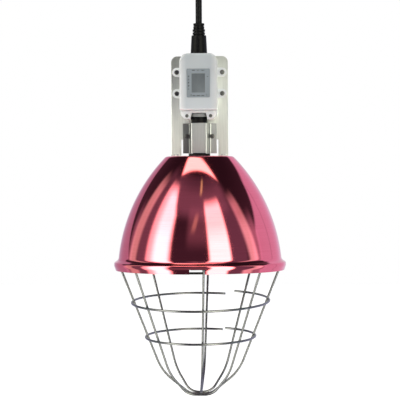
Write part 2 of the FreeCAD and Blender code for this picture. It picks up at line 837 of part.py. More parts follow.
terminal_pitch = size.terminal_width / 3
terminal_hole_y = -(board_front + size.terminal_depth / 2)
terminal_hole_z = box_low + terminal_low + size.terminal_height / 2
node(drilled(
    brick(-(size.terminal_width / 2), -(board_front + size.terminal_depth), box_low + terminal_low,
          size.terminal_width, size.terminal_depth, size.terminal_height),
    *[cylinder(step * terminal_pitch, terminal_hole_y, terminal_hole_z, size.terminal_hole_radius,
               size.terminal_height)
      for step in (-1, 0, 1)],
), "terminal_block")


# Screws and nuts that hold the box's ears to the plate

ear_head_y = size.plate_offset - size.ear_thickness
screw_tip_y = plate_back + size.nut_height + size.screw_proud
group("ear_screws", [
    pan_screw(x, ear_head_y, box_low + z, size.screw_radius, screw_tip_y - ear_head_y,
              size.screw_head_radius, size.screw_head_height)
    for x, z in ear_places])


def plate_nut(x, z):
    """A nut behind the plate."""
    nut = hexagon(x, plate_back + size.nut_height, z, size.nut_radius, size.nut_height, forwards=True)
    bore_length = screw_tip_y - plate_back + size.overrun
    bore = cylinder(x, screw_tip_y, z, screw_hole, bore_length, forwards=True)
    return drilled(nut, bore)


group("ear_nuts", [plate_nut(x, box_low + z) for x, z in ear_places])


# Lamp lead, its outlet collar and moulded boot, and the bracket that clamps the boot's tube to the plate

cavity_top = -(size.bowl_sheet + size.holder_roof)
lead_low = bowl_top + cavity_top
node(cylinder(0, 0, lead_low, size.lead_radius, box_low + size.lead_tail - lead_low), "lamp_lead")

turned("outlet_collar", box_low, [
    (lead_hole, size.lamp_boot_entry),
    (size.outlet_foot_radius, size.lamp_boot_entry),
    (size.outlet_top_radius, size.lamp_boot_entry + size.outlet_height),
    (lead_hole, size.lamp_boot_entry + size.outlet_height),
])

lamp_boot_low = clamp_rise + clamp_height + size.clearance
lamp_boot_high = size.box_rise + size.lamp_boot_entry
turned("lamp_boot", bowl_top, [
    (lead_hole, size.holder_neck_rise),
    (size.tube_radius, size.holder_neck_rise),
    (size.tube_radius, lamp_boot_low),
    (size.lamp_boot_radius, lamp_boot_low),
    (size.lamp_boot_radius, lamp_boot_high - size.lamp_boot_chamfer),
    (size.lamp_boot_radius - size.lamp_boot_chamfer, lamp_boot_high),
    (lead_hole, lamp_boot_high),
])

clamp_front_y = clamp_inside_y - size.clamp_wall
flange_front_y = size.plate_offset - size.clamp_wall
clamp_bracket = new_body("clamp_bracket", bowl_top + clamp_rise)
add(clamp_bracket, "XY_Plane", 0, clamp_height, [
    (-clamp_half, flange_front_y),
    (-clamp_foot_half, flange_front_y),
    (-clamp_front_half, clamp_front_y),
    (clamp_front_half, clamp_front_y),
    (clamp_foot_half, flange_front_y),
    (clamp_half, flange_front_y),
    (clamp_half, size.plate_offset),
    (clamp_foot_half - size.clamp_wall, size.plate_offset),
    (clamp_front_half - size.clamp_wall, clamp_inside_y),
    (-(clamp_front_half - size.clamp_wall), clamp_inside_y),
    (-(clamp_foot_half - size.clamp_wall), size.plate_offset),
    (-clamp_half, size.plate_offset),
])
cut(clamp_bracket, "XZ_Plane", -(size.plate_offset + size.overrun), size.clamp_wall + 2 * size.overrun,
    *[Disc(x, z - clamp_rise, screw_hole) for x, z in clamp_places])

group("clamp_screws", [
    pan_screw(x, flange_front_y, bowl_top + z, size.screw_radius, screw_tip_y - flange_front_y,
              size.screw_head_radius, size.screw_head_height)
    for x, z in clamp_places])
group("clamp_nuts", [plate_nut(x, bowl_top + z) for x, z in clamp_places])


# Reflector: spun sheet with a folded rim, in whose groove the guard's feet run

neck_hole = size.holder_neck_radius + size.snug
rim_radius = size.bowl_wall_radius + size.rim_flare
rim_height = size.bowl_wall_height + size.rim_drop
lip_radius = rim_radius - size.lip_turn
lip_height = rim_height + size.lip_drop
rim_inside = rim_radius - size.bowl_sheet * BOWL_FOLD_SHARE
wall_inside = size.bowl_wall_radius - size.bowl_sheet
lip_inside = lip_radius - size.bowl_sheet
reflector = turned("reflector", bowl_top, [
    (neck_hole, 0),
    (size.bowl_top_radius, 0, -size.bowl_arc_radius),
    (size.bowl_wall_radius, -size.bowl_wall_height),
    (rim_radius, -rim_height),
    (lip_radius, -lip_height),
    (lip_inside, -lip_height),
    (rim_inside, -rim_height),
    (wall_inside, -size.bowl_wall_height, size.bowl_arc_radius - size.bowl_sheet),
    (size.bowl_top_radius - size.bowl_sheet * BOWL_CORNER_SHARE, -size.bowl_sheet),
    (neck_hole, -size.bowl_sheet),
])
notch_left = size.lip_notch_offset - size.lip_notch_width / 2
notch_right = size.lip_notch_offset + size.lip_notch_width / 2
notch_low = -(lip_height + size.overrun)
cut(reflector, "XZ_Plane", rim_radius - size.lip_notch_reach, size.lip_notch_reach + size.overrun,
    block(notch_left, notch_right, notch_low, size.lip_notch_height - lip_height))
cut(reflector, "XY_Plane", -(size.bowl_sheet + size.overrun), size.bowl_sheet + 2 * size.overrun,
    *rivet_holes)


# Lampholder: the ceramic body hangs from its neck, which a ring on top of the reflector clamps

turned("lock_ring", bowl_top, [
    (neck_hole, 0),
    (size.ring_radius, 0),
    (size.ring_radius, size.ring_height),
    (size.tube_radius + size.snug, size.ring_height),
    (size.tube_radius + size.snug, size.holder_neck_rise),
    (neck_hole, size.holder_neck_rise),
])

button_top = cavity_top - size.contact_thickness - size.clearance
cap_top = button_top - size.button_height
cap_low = cap_top - size.cap_length
shell_inside = size.cap_radius + size.thread_gap
shell_outside = shell_inside + size.shell_wall
holder_inside = shell_outside + size.snug
holder_radius = holder_inside + size.holder_wall
holder_low = cap_low + size.cap_proud
turned("lampholder_body", bowl_top, [
    (lead_hole, size.holder_neck_rise),
    (size.holder_neck_radius, size.holder_neck_rise),
    (size.holder_neck_radius, -size.bowl_sheet),
    (holder_radius - size.holder_round, -size.bowl_sheet, -size.holder_round),
    (holder_radius, -(size.bowl_sheet + size.holder_round)),
    (holder_radius, holder_low),
    (holder_inside, holder_low),
    (holder_inside, cavity_top),
    (lead_hole, cavity_top),
])

turned("lampholder_shell", bowl_top, [
    (shell_inside, cavity_top),
    (shell_outside, cavity_top),
    (shell_outside, cavity_top - size.shell_height),
    (shell_inside, cavity_top - size.shell_height),
])

turned("centre_contact", bowl_top, [
    (0, cavity_top),
    (size.contact_radius, cavity_top),
    (size.contact_radius, cavity_top - size.contact_thickness),
    (0, cavity_top - size.contact_thickness),
])


# Bulb: a screw cap with its contact button, a silvered glass cup, a red lens and the filament on its posts

cup_neck_radius = size.cap_radius - size.cap_wall - size.snug
cup_top = cap_low + size.cap_overlap
cup_low = cap_low - size.bulb_cup_height
rim_low = cup_low - size.bulb_rim_height
lens_half = size.bulb_radius - size.bulb_wall

turned("bulb_contact", bowl_top, [
    (0, button_top),
    (size.button_radius, button_top),
    (size.button_radius, cap_top),
    (0, cap_top),
])

turned("bulb_cap", bowl_top, [
    (0, cap_top),
    (size.cap_top_radius, cap_top),
    (size.cap_radius, cap_top - size.cap_cone_height),
    (size.cap_radius, cap_low),
    (size.cap_radius - size.cap_wall, cap_low),
    (size.cap_radius - size.cap_wall, cap_top - size.cap_cone_height),
    (size.cap_top_radius - size.cap_wall, cap_top - size.cap_wall),
    (0, cap_top - size.cap_wall),
])

turned("bulb_cup", bowl_top, [
    (cup_neck_radius - size.bulb_wall, cup_top),
    (cup_neck_radius, cup_top),
    (cup_neck_radius, cap_low, -size.bulb_cup_arc_radius),
    (size.bulb_radius, cup_low),
    (size.bulb_radius, rim_low),
    (lens_half, rim_low),
    (lens_half, cup_low, size.bulb_cup_arc_radius - size.bulb_wall),
    (cup_neck_radius - size.bulb_wall, cap_low),
])

turned("bulb_lens", bowl_top, [
    (0, rim_low),
    (size.bulb_radius, rim_low, -size.lens_arc_radius),
    (0, rim_low - size.lens_crown),
])

post_top = cap_top - size.cap_wall
filament_z = post_top - size.filament_drop
filament_half = size.filament_width / 2
node(fused(
    cylinder(-filament_half, 0, bowl_top + filament_z, size.filament_radius, size.filament_drop),
    cylinder(filament_half, 0, bowl_top + filament_z, size.filament_radius, size.filament_drop),
    brick(-filament_half, -size.filament_radius, bowl_top + filament_z, size.filament_width,
          2 * size.filament_radius, 2 * size.filament_radius),
), "bulb_filament")


# Wire guard: two bent wires that cross at the bottom, one in front and one behind, and two open rings

def around(degrees, radius, height):
    """A point on a circle about the lamp's axis, in degrees from the front towards the right."""
    angle = math.radians(degrees)
    return Vector(radius * math.sin(angle), -radius * math.cos(angle), height)


def bent_path(points, bends):
    """Straight runs joined by tangent arcs, with one bend radius for each inner point."""
    edges = []
    last = points[0]
    for before, corner, after, bend in zip(points, points[1:], points[2:], bends):
        back = (before - corner).normalize()
        ahead = (after - corner).normalize()
        half_angle = back.getAngle(ahead) / 2
        reach = bend / math.tan(half_angle)
        start = corner + back * reach
        end = corner + ahead * reach
        middle = corner + (back + ahead).normalize() * (bend / math.sin(half_angle) - bend)
        edges.append(Part.LineSegment(last, start).toShape())
        edges.append(Part.Arc(start, middle, end).toShape())
        last = end
    edges.append(Part.LineSegment(last, points[-1]).toShape())
    return Part.Wire(edges)


def wire_along(label, path, radius):
    """A round wire along a path, whose volume is compared with its section times its length."""
    first = path.OrderedEdges[0]
    start = first.valueAt(first.FirstParameter)
    section = Part.Wire(Part.makeCircle(radius, start, first.tangentAt(first.FirstParameter)))
    solid = path.makePipeShell([section], True, False)
    expected = math.pi * radius ** 2 * path.Length
    print(f"{label}: volume is {solid.Volume / expected:.4f} of section times length")
    wire = doc.addObject("Part::Feature", label)
    wire.Shape = solid
    return node(place(wire, z=bowl_top), label)


wire_radius = size.wire_radius.value
leg_radius = (rim_inside - size.guard_leg_inset).value
leg_angle = math.atan(GUARD_LEG_LEAN_SHARE)

# The foot's tip lies in the rim's groove, clear of the shoulder above it and of the lip below it.
groove = Vector(rim_inside.value, 0, -rim_height.value)
groove_up = Vector(wall_inside.value, 0, -size.bowl_wall_height.value) - groove
groove_down = Vector(lip_inside.value, 0, -lip_height.value) - groove
groove_half = groove_up.getAngle(groove_down) / 2
groove_middle = (groove_up.normalize() + groove_down.normalize()).normalize()
foot_seat = groove + groove_middle * ((wire_radius + size.clearance.value) / math.sin(groove_half))
foot_length = size.guard_foot_length.value
foot_turn = math.degrees(math.acos(
    (leg_radius ** 2 + foot_seat.x ** 2 - foot_length ** 2) / (2 * leg_radius * foot_seat.x)))


knee_height = foot_seat.z - size.guard_knee_drop.value
knee_radius = leg_radius - size.guard_knee_drop.value * GUARD_LEG_LEAN_SHARE


def guard_leg(angle, reach, bottom_height):
    """The corners of one leg: its foot, its top, its knee and its end at the bottom."""
    return [
        around(angle - foot_turn, foot_seat.x, foot_seat.z),
        around(angle, leg_radius, foot_seat.z),
        around(angle, knee_radius, knee_height),
        around(angle, reach, bottom_height),
    ]


def guard_wire(label, angles, reach, lift):
    """A wire with two legs and a flat bottom, which lies this much above the guard's depth."""
    bottom_height = foot_seat.z - size.guard_depth.value + lift
    first, second = [guard_leg(angle, reach.value, bottom_height) for angle in angles]
    bends = [size.guard_foot_bend.value, size.guard_knee_bend.value, size.guard_bottom_bend.value]
    wire_along(label, bent_path(first + second[::-1], bends + bends[::-1]), wire_radius)


# Two wires cross on the axis, the second over the first. The bows pass under the second one too.
crossing_lift = (2 * size.wire_radius + size.snug).value
guard_wire("guard_wire_1", GUARD_SIDE_ANGLES, size.guard_cross_reach, 0)
guard_wire("guard_wire_2", GUARD_FORE_AFT_ANGLES, size.guard_cross_reach, crossing_lift)
guard_wire("guard_wire_3", GUARD_BOW_FRONT_ANGLES, size.guard_bow_reach, 0)
guard_wire("guard_wire_4", GUARD_BOW_BACK_ANGLES, size.guard_bow_reach, 0)


def guard_ring(label, drop, climb, dip, span):
    """A ring on the outside of the legs, which climbs from one open end to the other and dips at the front."""
    start_angle, run = span
    outside = (2 * size.wire_radius + size.snug).value / math.cos(leg_angle)

    def point(share):
        angle = start_angle + run * share
        fall = drop.value - climb.value * share + dip.value * math.cos(math.radians(angle))
        radius = leg_radius + outside - fall * GUARD_LEG_LEAN_SHARE
        return around(angle, radius, foot_seat.z - fall)

    marks = [step / (2 * GUARD_RING_ARCS) for step in range(2 * GUARD_RING_ARCS + 1)]
    points = [point(mark) for mark in marks]
    arcs = [Part.Arc(*points[first:first + 3]).toShape() for first in range(0, 2 * GUARD_RING_ARCS, 2)]
    wire_along(label, Part.Wire(arcs), wire_radius)


guard_ring("guard_ring_upper", size.guard_ring_upper_drop, size.guard_ring_upper_climb,
           size.guard_ring_upper_dip, GUARD_RING_UPPER_SPAN)
guard_ring("guard_ring_lower", size.guard_ring_lower_drop, size.guard_ring_lower_climb,
           size.guard_ring_lower_dip, GUARD_RING_LOWER_SPAN)


# Checks and files

doc.recompute()
for item in doc.Objects:
    if "Invalid" in item.State or "Error" in item.State:
        raise ValueError(f"{item.Label} failed: {item.State}")
for label, item in nodes.items():
    if item.Shape.isNull() or not item.Shape.isValid():
        raise ValueError(f"{label} has no valid shape")
os.makedirs("parts", exist_ok=True)
for label, item in nodes.items():
    item.Shape.exportStep(f"parts/{label}.step")
print(f"{len(nodes)} pieces written")
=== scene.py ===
# Infrared lamp that hangs on its own cord: a ceiling gland, a controller box on a forked steel
# plate, a spun bowl with a screwed-in heat bulb, and a wire guard below it.
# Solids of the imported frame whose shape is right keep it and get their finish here. The others
# are modelled again in the same places.

import json
import math

import bmesh
import bpy
from mathutils import Matrix, Vector

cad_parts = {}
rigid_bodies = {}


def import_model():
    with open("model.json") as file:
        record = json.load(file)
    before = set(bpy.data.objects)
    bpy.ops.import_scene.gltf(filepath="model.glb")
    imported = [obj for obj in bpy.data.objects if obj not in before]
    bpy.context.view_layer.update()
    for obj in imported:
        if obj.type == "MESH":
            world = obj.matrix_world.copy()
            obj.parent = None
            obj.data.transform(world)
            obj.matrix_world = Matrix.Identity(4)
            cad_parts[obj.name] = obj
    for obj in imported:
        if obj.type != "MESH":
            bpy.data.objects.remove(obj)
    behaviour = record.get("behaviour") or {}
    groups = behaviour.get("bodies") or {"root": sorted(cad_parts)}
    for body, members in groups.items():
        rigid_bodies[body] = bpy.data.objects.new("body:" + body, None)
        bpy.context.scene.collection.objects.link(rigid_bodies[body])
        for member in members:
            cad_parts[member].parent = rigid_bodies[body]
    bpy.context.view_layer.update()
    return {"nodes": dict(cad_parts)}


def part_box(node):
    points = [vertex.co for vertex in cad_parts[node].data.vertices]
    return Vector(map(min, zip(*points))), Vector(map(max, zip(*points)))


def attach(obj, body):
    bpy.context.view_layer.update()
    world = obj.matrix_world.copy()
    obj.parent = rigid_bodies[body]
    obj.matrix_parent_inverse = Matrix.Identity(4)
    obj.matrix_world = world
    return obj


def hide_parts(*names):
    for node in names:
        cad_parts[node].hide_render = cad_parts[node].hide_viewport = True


for leftover in list(bpy.data.objects):
    bpy.data.objects.remove(leftover)
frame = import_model()
nodes = frame["nodes"]


# Supply cord: round mains cord with a black rubbery sheath, extruded over its cores.
# The lamp hangs on it, so it runs straight down from the ceiling gland into the boot, which it
# reaches well inside.
CORD_IN_BOOT = 0.026

boot_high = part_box("supply_boot")[1]
cord_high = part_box("supply_cord")[1]
cord_radius = cord_high.x
cord_start = boot_high.z - CORD_IN_BOOT
cord_length = cord_high.z - cord_start


def grain(tree, sizes, detail=3.0):
    """A noise on the piece's own coordinates, with grains of these lengths along x, y and z."""
    place = tree.nodes.new("ShaderNodeTexCoord")
    stretch = tree.nodes.new("ShaderNodeMapping")
    stretch.inputs["Scale"].default_value = [1 / size for size in sizes]
    noise = tree.nodes.new("ShaderNodeTexNoise")
    noise.inputs["Scale"].default_value = 1.0
    noise.inputs["Detail"].default_value = detail
    tree.links.new(place.outputs["Object"], stretch.inputs["Vector"])
    tree.links.new(stretch.outputs["Vector"], noise.inputs["Vector"])
    return noise.outputs["Fac"]


def spread(tree, value, low, high, value_low=0.3, value_high=0.7):
    """Carries a value over to a range of numbers."""
    remap = tree.nodes.new("ShaderNodeMapRange")
    remap.inputs["From Min"].default_value = value_low
    remap.inputs["From Max"].default_value = value_high
    remap.inputs["To Min"].default_value = low
    remap.inputs["To Max"].default_value = high
    tree.links.new(value, remap.inputs["Value"])
    return remap.outputs["Result"]


def tint(tree, value, first, last, value_low=0.3, value_high=0.7):
    """Carries a value over to a run of colours between two."""
    ramp = tree.nodes.new("ShaderNodeValToRGB")
    start, end = ramp.color_ramp.elements
    start.position, end.position = value_low, value_high
    start.color, end.color = (*first, 1.0), (*last, 1.0)
    tree.links.new(value, ramp.inputs["Fac"])
    return ramp.outputs["Color"]


def emboss(tree, shader, value, height):
    """Gives the surface a relief of this height."""
    bump = tree.nodes.new("ShaderNodeBump")
    bump.inputs["Distance"].default_value = height
    tree.links.new(value, bump.inputs["Height"])
    tree.links.new(bump.outputs["Normal"], shader.inputs["Normal"])


def shader_of(finish):
    """The surface shader of a finish."""
    return finish.node_tree.nodes["Principled BSDF"]


def new_finish(name, dark, pale, roughness, grains, height, metallic=0.0):
    """A finish whose colour, gloss and relief vary with one fine grain."""
    finish = bpy.data.materials.new(name)
    finish.use_nodes = True
    tree = finish.node_tree
    shader = shader_of(finish)
    shader.inputs["Metallic"].default_value = metallic
    noise = grain(tree, grains)
    tree.links.new(tint(tree, noise, dark, pale), shader.inputs["Base Color"])
    tree.links.new(spread(tree, noise, *roughness), shader.inputs["Roughness"])
    emboss(tree, shader, noise, height)
    return finish


def linked(name, data):
    """A new object at the origin, in the scene."""
    piece = bpy.data.objects.new(name, data)
    bpy.context.scene.collection.objects.link(piece)
    return piece


cord_sheath = new_finish(
    "cord_sheath", (0.005, 0.005, 0.006), (0.010, 0.010, 0.011), (0.36, 0.48),
    (0.004, 0.004, 0.012), 0.00004)

cord_line = bpy.data.curves.new("cord_line", "CURVE")
cord_line.dimensions = "3D"
cord_line.bevel_depth = cord_radius
cord_line.bevel_resolution = 10
cord_line.materials.append(cord_sheath)
cord_route = cord_line.splines.new("NURBS")
cord_route.points.add(3)
for share, point in zip((0, 1 / 3, 2 / 3, 1), cord_route.points):
    point.co = (0, 0, cord_start + share * cord_length, 1)
cord_route.order_u = 3
cord_route.use_endpoint_u = True

cord = linked("cord", cord_line)
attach(cord, "fixture")
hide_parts("supply_cord")


# Ceiling fittings: a round flange with three screw holes, and the nut and seal of its gland.
# The flange and the nut are moulded in black plastic with a fine texture, the seal in rubber,
# and the nut squeezes the seal round the cord.
def dress(finish, *names):
    """Puts a finish on nodes of the frame."""
    for name in names:
        for place in nodes[name].material_slots:
            place.material = finish


black_plastic = new_finish(
    "black_plastic", (0.008, 0.008, 0.009), (0.016, 0.016, 0.017), (0.36, 0.52),
    (0.0008, 0.0008, 0.0008), 0.00003)
black_rubber = new_finish(
    "black_rubber", (0.010, 0.010, 0.010), (0.018, 0.018, 0.018), (0.55, 0.7),
    (0.0012, 0.0012, 0.0012), 0.00003)
dress(black_plastic, "ceiling_flange", "gland_nut")
dress(black_rubber, "gland_seal")


# Supply boot: the cord's strain relief, moulded in soft black rubber.
# A smooth tapered foot stands on the box's top wall, which its lip holds from inside, and the
# neck above it is slotted into rings so that it bends with the cord.
BOOT_FOOT_TAPER = 0.0012
BOOT_FOOT_HEIGHT = 0.0237
BOOT_ROUND = 0.0011
TIER_RADII = (0.0078, 0.0069)
RINGS_IN_TIER = 2
RING_GAP = 0.0009
RING_ROUND = 0.0005
RING_CORE = 0.0021
WEB_WIDTH = 0.0052
BOOT_STEPS = 64
BLACK_SPECULAR = 0.06
SHARP_ANGLE = math.radians(32)

box_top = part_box("controller_base")[1].z
foot_radius = boot_high.x
shoulder_radius = foot_radius - BOOT_FOOT_TAPER
neck_low = box_top + BOOT_FOOT_HEIGHT
neck_height = boot_high.z - neck_low
core_radius = cord_radius + RING_CORE


def draw_wire(bm, corners):
    """A wire through (radius, height, rounding) corners, in the plane of x and z."""
    wire = [bm.verts.new((radius, 0, height)) for radius, height, rounding in corners]
    for pair in zip(wire, wire[1:]):
        bm.edges.new(pair)
    for corner, (radius, height, rounding) in zip(wire, corners):
        if rounding:
            bmesh.ops.bevel(bm, geom=[corner], affect="VERTICES", offset=rounding, segments=6,
                            profile=0.5, material=-1)


def turn(bm, steps):
    """Turns all that is drawn so far once round the lamp's axis."""
    drawn = bm.verts[:] + bm.edges[:]
    bmesh.ops.spin(bm, geom=drawn, cent=(0, 0, 0), axis=(0, 0, 1), angle=math.tau, steps=steps,
                   use_merge=True)
    bmesh.ops.remove_doubles(bm, verts=bm.verts[:], dist=1e-7)
    bmesh.ops.recalc_face_normals(bm, faces=bm.faces[:])


def settle(name, bm, finishes, body, slot, *replaced):
    """Makes a piece of a mesh: smooth between its sharp edges, dressed, and riding on its body."""
    mesh = bpy.data.meshes.new(name)
    bm.to_mesh(mesh)
    bm.free()
    mesh.shade_smooth()
    mesh.set_sharp_from_angle(angle=SHARP_ANGLE)
    for finish in finishes:
        mesh.materials.append(finish)
    piece = linked(name, mesh)
    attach(piece, body)
    if replaced:
        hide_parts(*replaced)
    return piece


boot_rubber = new_finish(
    "boot_rubber", (0.003, 0.003, 0.004), (0.006, 0.006, 0.007), (0.36, 0.50),
    (0.003, 0.003, 0.003), 0.00003)
# Soft black rubber and textured black plastic mirror little of the room.
for black in (cord_sheath, boot_rubber, black_plastic):
    shader_of(black).inputs["Specular IOR Level"].default_value = BLACK_SPECULAR

boot = bmesh.new()
ring_radii = [radius for radius in TIER_RADII for ring in range(RINGS_IN_TIER)]
ring_pitch = neck_height / len(ring_radii)
draw_wire(boot, [
    (cord_radius, box_top, 0),
    (foot_radius, box_top, 0),
    (shoulder_radius, neck_low, BOOT_ROUND),
    (core_radius, neck_low, 0),
    (core_radius, boot_high.z - RING_GAP, 0),
])
for ring, ring_radius in enumerate(ring_radii):
    ring_low = neck_low + ring * ring_pitch + RING_GAP
    ring_high = neck_low + (ring + 1) * ring_pitch
    draw_wire(boot, [
        (cord_radius, ring_low, 0),
        (ring_radius, ring_low, RING_ROUND),
        (ring_radius, ring_high, RING_ROUND),
        (cord_radius, ring_high, 0),
    ])
turn(boot, BOOT_STEPS)
web_reach = 2 * (min(TIER_RADII) - RING_ROUND)
for ring in range(len(ring_radii)):
    web_middle = neck_low + ring * ring_pitch + RING_GAP / 2
    web_size = Vector((web_reach, WEB_WIDTH, 2 * RING_GAP))
    if ring % 2:
        web_size.x, web_size.y = web_size.y, web_size.x
    bmesh.ops.create_cube(
        boot, size=1, matrix=Matrix.LocRotScale((0, 0, web_middle), None, web_size))
settle("boot", boot, [boot_rubber], "fixture", "boot_rubber", "supply_boot")


# Controller box: base with four screw ears, lid and terminal cover, moulded in milky plastic.
# The walls are thick enough to scatter the light, and a rubber seal lies between base and lid.
# On the lid that scatter is painted light and shade: whiter edges round darker panels.
MILKY_PANEL_PAINTED_SHADE = (0.565, 0.605, 0.615)
MILKY_EDGE_PAINTED_LIGHT = (0.77, 0.785, 0.77)
MILKY_SCATTER = 0.8
MILKY_SCATTER_RADIUS = (0.006, 0.006, 0.0055)
LID_EDGE_INNER = 0.0150
LID_EDGE_OUTER = 0.0225
LID_FOOT = 0.0026
LID_TOP_PAINTED_SHADE = 0.89
LID_LOW_PAINTED_LIGHT = 1.10
LID_RIGHT_PAINTED_SHADE = 0.84
LID_FOOT_PAINTED_LIGHT = 1.28
DOWNWARDS = (0, 0, -1)
RIGHTWARDS = (1, 0, 0)

lid_low, lid_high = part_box("controller_lid")


def shade_along(finish, direction, start, end, first, last):
    """Paints light and shade into a finish's colour: multiplies it by a number that runs from first
    to last along a direction.
    """
    tree = finish.node_tree
    base = shader_of(finish).inputs["Base Color"]
    plain = base.links[0].from_socket
    place = tree.nodes.new("ShaderNodeTexCoord")
    along = tree.nodes.new("ShaderNodeVectorMath")
    along.operation = "DOT_PRODUCT"
    along.inputs[1].default_value = direction
    tree.links.new(place.outputs["Object"], along.inputs[0])
    scale = tree.nodes.new("ShaderNodeVectorMath")
    scale.operation = "SCALE"
    tree.links.new(plain, scale.inputs[0])
    tree.links.new(spread(tree, along.outputs["Value"], first, last, start, end),
                   scale.inputs["Scale"])
    tree.links.new(scale.outputs["Vector"], base)


milky_plastic = new_finish(
    "milky_plastic", (0.91, 0.96, 0.95), (0.95, 0.99, 0.98), (0.30, 0.40),
    (0.02, 0.02, 0.02), 0.00003)
lid_plastic = new_finish(
    "lid_plastic", MILKY_PANEL_PAINTED_SHADE, MILKY_EDGE_PAINTED_LIGHT, (0.30, 0.40), (0.02, 0.02, 0.02), 0.00003)
for plastic in (milky_plastic, lid_plastic):
    shader = shader_of(plastic)
    shader.inputs["Subsurface Weight"].default_value = MILKY_SCATTER
    shader.inputs["Subsurface Radius"].default_value = MILKY_SCATTER_RADIUS
    shader.inputs["Subsurface Scale"].default_value = 1.0

# Painted light and shade: the lid's panel is darker and its sides whiter, by the distance from its
# middle line.
lid_tree = lid_plastic.node_tree
lid_place = lid_tree.nodes.new("ShaderNodeTexCoord")
lid_axes = lid_tree.nodes.new("ShaderNodeSeparateXYZ")
lid_side = lid_tree.nodes.new("ShaderNodeMath")
lid_side.operation = "ABSOLUTE"
lid_tree.links.new(lid_place.outputs["Object"], lid_axes.inputs["Vector"])
lid_tree.links.new(lid_axes.outputs["X"], lid_side.inputs[0])
lid_painted_light_mask = spread(lid_tree, lid_side.outputs["Value"], 0, 1, LID_EDGE_INNER, LID_EDGE_OUTER)
lid_tree.links.new(tint(lid_tree, lid_painted_light_mask, MILKY_PANEL_PAINTED_SHADE, MILKY_EDGE_PAINTED_LIGHT, 0, 1),
                   shader_of(lid_plastic).inputs["Base Color"])
# Painted shade and light: the lid darkens towards its top and its right side, and whitens at its
# foot.
shade_along(lid_plastic, DOWNWARDS, -lid_high.z, -lid_low.z, LID_TOP_PAINTED_SHADE, LID_LOW_PAINTED_LIGHT)
shade_along(lid_plastic, RIGHTWARDS, LID_EDGE_INNER, LID_EDGE_OUTER, 1.0, LID_RIGHT_PAINTED_SHADE)
shade_along(lid_plastic, DOWNWARDS, -lid_low.z - LID_FOOT, -lid_low.z - LID_FOOT / 2,
            1.0, LID_FOOT_PAINTED_LIGHT)
dress(milky_plastic, "controller_base", "terminal_cover")
dress(lid_plastic, "controller_lid")
dress(black_rubber, "lid_seal")


# Display: a printed bezel on the lid with dark display glass behind its window.
# The bezel is a grey film with small marks round the window. The glass is a reflective display
# with a slightly greenish grey face, on a plastic module.
BEZEL_MARK_PROUD = 0.00006
GLASS_COAT = 0.6
GLASS_TOP_PAINTED_SHADE = 0.88
GLASS_LOW_PAINTED_LIGHT = 1.17

bezel_low, bezel_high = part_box("display_bezel")
glass_low, glass_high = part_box("display_glass")

display_print = new_finish(
    "display_print", (0.225, 0.257, 0.280), (0.257, 0.290, 0.314), (0.34, 0.42),
    (0.0006, 0.0006, 0.0006), 0.00001)
display_dark_glass = new_finish(
    "display_dark_glass", (0.125, 0.141, 0.146), (0.175, 0.196, 0.203), (0.05, 0.09),
    (0.012, 0.012, 0.03), 0.0)
shader_of(display_dark_glass).inputs["Coat Weight"].default_value = GLASS_COAT
# Painted shade: the glass darkens towards its top and lightens towards its foot.
shade_along(display_dark_glass, DOWNWARDS, -glass_high.z, -glass_low.z,
            GLASS_TOP_PAINTED_SHADE, GLASS_LOW_PAINTED_LIGHT)
module_plastic = new_finish(
    "module_plastic", (0.10, 0.10, 0.10), (0.14, 0.14, 0.14), (0.4, 0.5),
    (0.002, 0.002, 0.002), 0.00002)
mark_print = new_finish(
    "mark_print", (0.020, 0.022, 0.024), (0.035, 0.038, 0.04), (0.4, 0.5),
    (0.0004, 0.0004, 0.0004), 0.0)
dress(display_print, "display_bezel")
dress(display_dark_glass, "display_glass")
dress(module_plastic, "display_module")

# Marks as (x, z, width, height) shares of the bezel's half width and half height.
BEZEL_MARKS = [
    (-0.42, 0.88, 0.24, 0.055),
    (-0.02, 0.88, 0.22, 0.045),
    (0.40, 0.88, 0.24, 0.055),
    (0.80, 0.45, 0.11, 0.045),
    (0.82, -0.42, 0.06, 0.10),
    (-0.84, 0.46, 0.09, 0.10),
    (-0.84, 0.24, 0.09, 0.10),
    (-0.84, 0.02, 0.09, 0.10),
    (-0.84, -0.20, 0.09, 0.10),
    (-0.84, -0.42, 0.09, 0.06),
    (-0.62, -0.84, 0.14, 0.055),
    (-0.38, -0.88, 0.18, 0.055),
    (0.0, -0.88, 0.26, 0.055),
    (0.38, -0.88, 0.22, 0.055),
    (0.72, -0.84, 0.14, 0.040),
]
marks = bmesh.new()
bezel_middle = (bezel_low + bezel_high) / 2
bezel_half = (bezel_high - bezel_low) / 2
for across, up, wide, high in BEZEL_MARKS:
    mark_place = bezel_middle + Vector((across * bezel_half.x, 0, up * bezel_half.z))
    mark_place.y = bezel_low.y + BEZEL_MARK_PROUD
    mark_size = (wide * bezel_half.x, 2 * BEZEL_MARK_PROUD, high * bezel_half.z)
    bmesh.ops.create_cube(marks, size=1, matrix=Matrix.LocRotScale(mark_place, None, mark_size))
settle("display_marks", marks, [mark_print], "fixture", "display_print")


